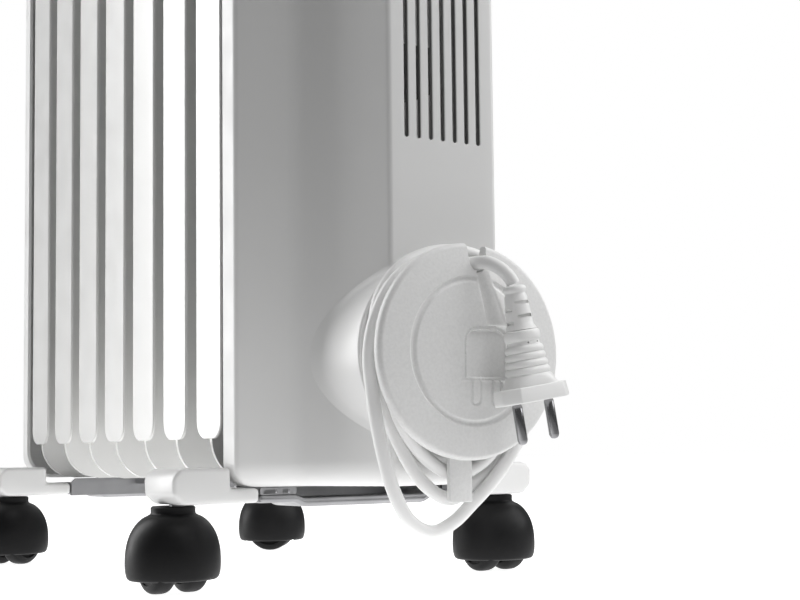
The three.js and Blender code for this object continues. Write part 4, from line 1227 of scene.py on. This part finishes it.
def tab_piece(end, name, side, outer, outward):
    """The small pierced plate between the strap's raised end and the cover."""
    x0, x1 = sorted((side * TAB_INNER, side * TAB_OUTER))
    outline = rounded_rect(x0, x1, STRIP_HIGH + 0.05, COVER_BOTTOM - 0.6, 0.9, 3)
    tab = new_object("%s_%s_tab" % (end, name), prism(outline, outer - outward * 1.0, outer - outward * 2.6))
    for hole in TAB_HOLES:
        x0, x1 = sorted(side * x for x in hole)
        window = rounded_rect(x0, x1, STRIP_HIGH + 0.6, COVER_BOTTOM - 1.6, 0.3, 2)
        cut(tab, prism(window, outer + outward * 2, outer - outward * 5))
    dress(tab, STEEL, "steel")


for end in ENDS:
    for name, side in SIDES.items():
        arm_piece(end, name, side)
for end in ENDS:
    outer, outward = bracket_piece(end)
    for name, side in SIDES.items():
        tab_piece(end, name, side, outer, outward)

# ---------------------------------------------------------------- carried-over CAD nodes
KEPT = {"winder_core": DISC_WHITE, "thermal_cutout": STEEL, "heating_element": STEEL}
KEPT.update(dict.fromkeys(("cord_gland", "thermostat_body", "terminal_block", "tilt_switch"), INNER_GREY_AND_VENT_SHADE))
for end in ENDS:
    KEPT.update({end + "_hook_bolt": STEEL, end + "_wing_nut": STEEL})
    for name in SIDES:
        KEPT.update({"%s_%s_stem" % (end, name): STEEL, "%s_%s_axle" % (end, name): STEEL})
for node, material in KEPT.items():
    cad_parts[node].data.materials.clear()
    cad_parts[node].data.materials.append(material)


# ---------------------------------------------------------------- floor and light
FLOOR_SIZE = 9.0
GLOW_NEAR, GLOW_FAR, GLOW_STRENGTH = 0.14, 0.52, 1.2
FLOOR_BASE = (0.35, 0.35, 0.35, 1)
FLOOR_SEEN, FLOOR_SEEN_GLOW = (0.6, 0.6, 0.6, 1), 0.96
PURE_WHITE = (1, 1, 1, 1)
ROOM_STRENGTH = 0.14
LIGHT_AIM = (0, -0.15, 0.25)
# name, azimuth, rise, distance, width, height, watts
SOFTBOXES = [
    ("softbox_right", 64, 32, 1.6, 1.2, 1.4, 17),
    ("softbox_back_left", -147, 18, 1.6, 0.5, 1.6, 19),
    ("softbox_back_right", 140, 40, 1.8, 1.4, 1.4, 5),
    ("softbox_front", 14, 30, 1.9, 0.5, 0.9, 3),
    ("softbox_top", 5, 68, 1.7, 1.0, 1.0, 9),
]


def split_for_camera(tree, lighting, seen, output):
    """Light the heater with one shader, and show the camera the other."""
    path, mix, out = (add_node(tree, kind) for kind in ("LightPath", "MixShader", output))
    tree.links.new(path.outputs["Is Camera Ray"], mix.inputs["Fac"])
    tree.links.new(lighting.outputs[0], mix.inputs[1])
    tree.links.new(seen.outputs[0], mix.inputs[2])
    tree.links.new(mix.outputs["Shader"], out.inputs["Surface"])


def studio_floor():
    """A pale floor that glows round the heater, so the light from below fades upward."""
    s = FLOOR_SIZE
    mesh = bpy.data.meshes.new("floor")
    mesh.from_pydata([(-s, -s, 0), (s, -s, 0), (s, s, 0), (-s, s, 0)], [], [(0, 1, 2, 3)])
    floor = linked("floor", mesh)
    mat = bpy.data.materials.new("pale_floor")
    mat.use_nodes = True
    tree = mat.node_tree
    tree.nodes.clear()
    coord = add_node(tree, "TexCoord")
    distance = add_node(tree, "VectorMath")
    distance.operation = "LENGTH"
    tree.links.new(coord.outputs["Object"], distance.inputs[0])
    glow = add_node(tree, "MapRange", From_Min=GLOW_NEAR, From_Max=GLOW_FAR, To_Min=GLOW_STRENGTH, To_Max=0.0)
    glow.interpolation_type = "SMOOTHSTEP"
    tree.links.new(distance.outputs["Value"], glow.inputs["Value"])
    look = {"Roughness": 0.6, "Base_Color": FLOOR_BASE, "Emission_Color": PURE_WHITE}
    lighting = add_node(tree, "BsdfPrincipled", **look)
    tree.links.new(glow.outputs["Result"], lighting.inputs["Emission Strength"])
    look.update(Roughness=0.7, Base_Color=FLOOR_SEEN, Emission_Strength=FLOOR_SEEN_GLOW)
    seen = add_node(tree, "BsdfPrincipled", **look)
    split_for_camera(tree, lighting, seen, "OutputMaterial")
    mesh.materials.append(mat)


def studio_world():
    """A dim room that looks white to the camera."""
    world = bpy.data.worlds.new("studio")
    bpy.context.scene.world = world
    world.use_nodes = True
    tree = world.node_tree
    tree.nodes.clear()
    lighting = add_node(tree, "Background", Color=PURE_WHITE, Strength=ROOM_STRENGTH)
    seen = add_node(tree, "Background", Color=PURE_WHITE, Strength=1.0)
    split_for_camera(tree, lighting, seen, "OutputWorld")


def softbox(name, azimuth, rise, distance, width, height, watts):
    """An area light aimed at the heater; azimuth runs from straight ahead towards +X."""
    light = bpy.data.lights.new(name, "AREA")
    light.shape = "RECTANGLE"
    light.size, light.size_y = width, height
    light.energy = watts
    lamp = linked(name, light)
    a, e = math.radians(azimuth), math.radians(rise)
    offset = Vector((math.sin(a) * math.cos(e), -math.cos(a) * math.cos(e), math.sin(e))) * distance
    lamp.location = Vector(LIGHT_AIM) + offset
    lamp.rotation_euler = offset.to_track_quat("Z", "Y").to_euler()
    lamp.visible_camera = False


studio_floor()
studio_world()
for row in SOFTBOXES:
    softbox(*row)
bpy.context.scene.view_settings.view_transform = "Standard"
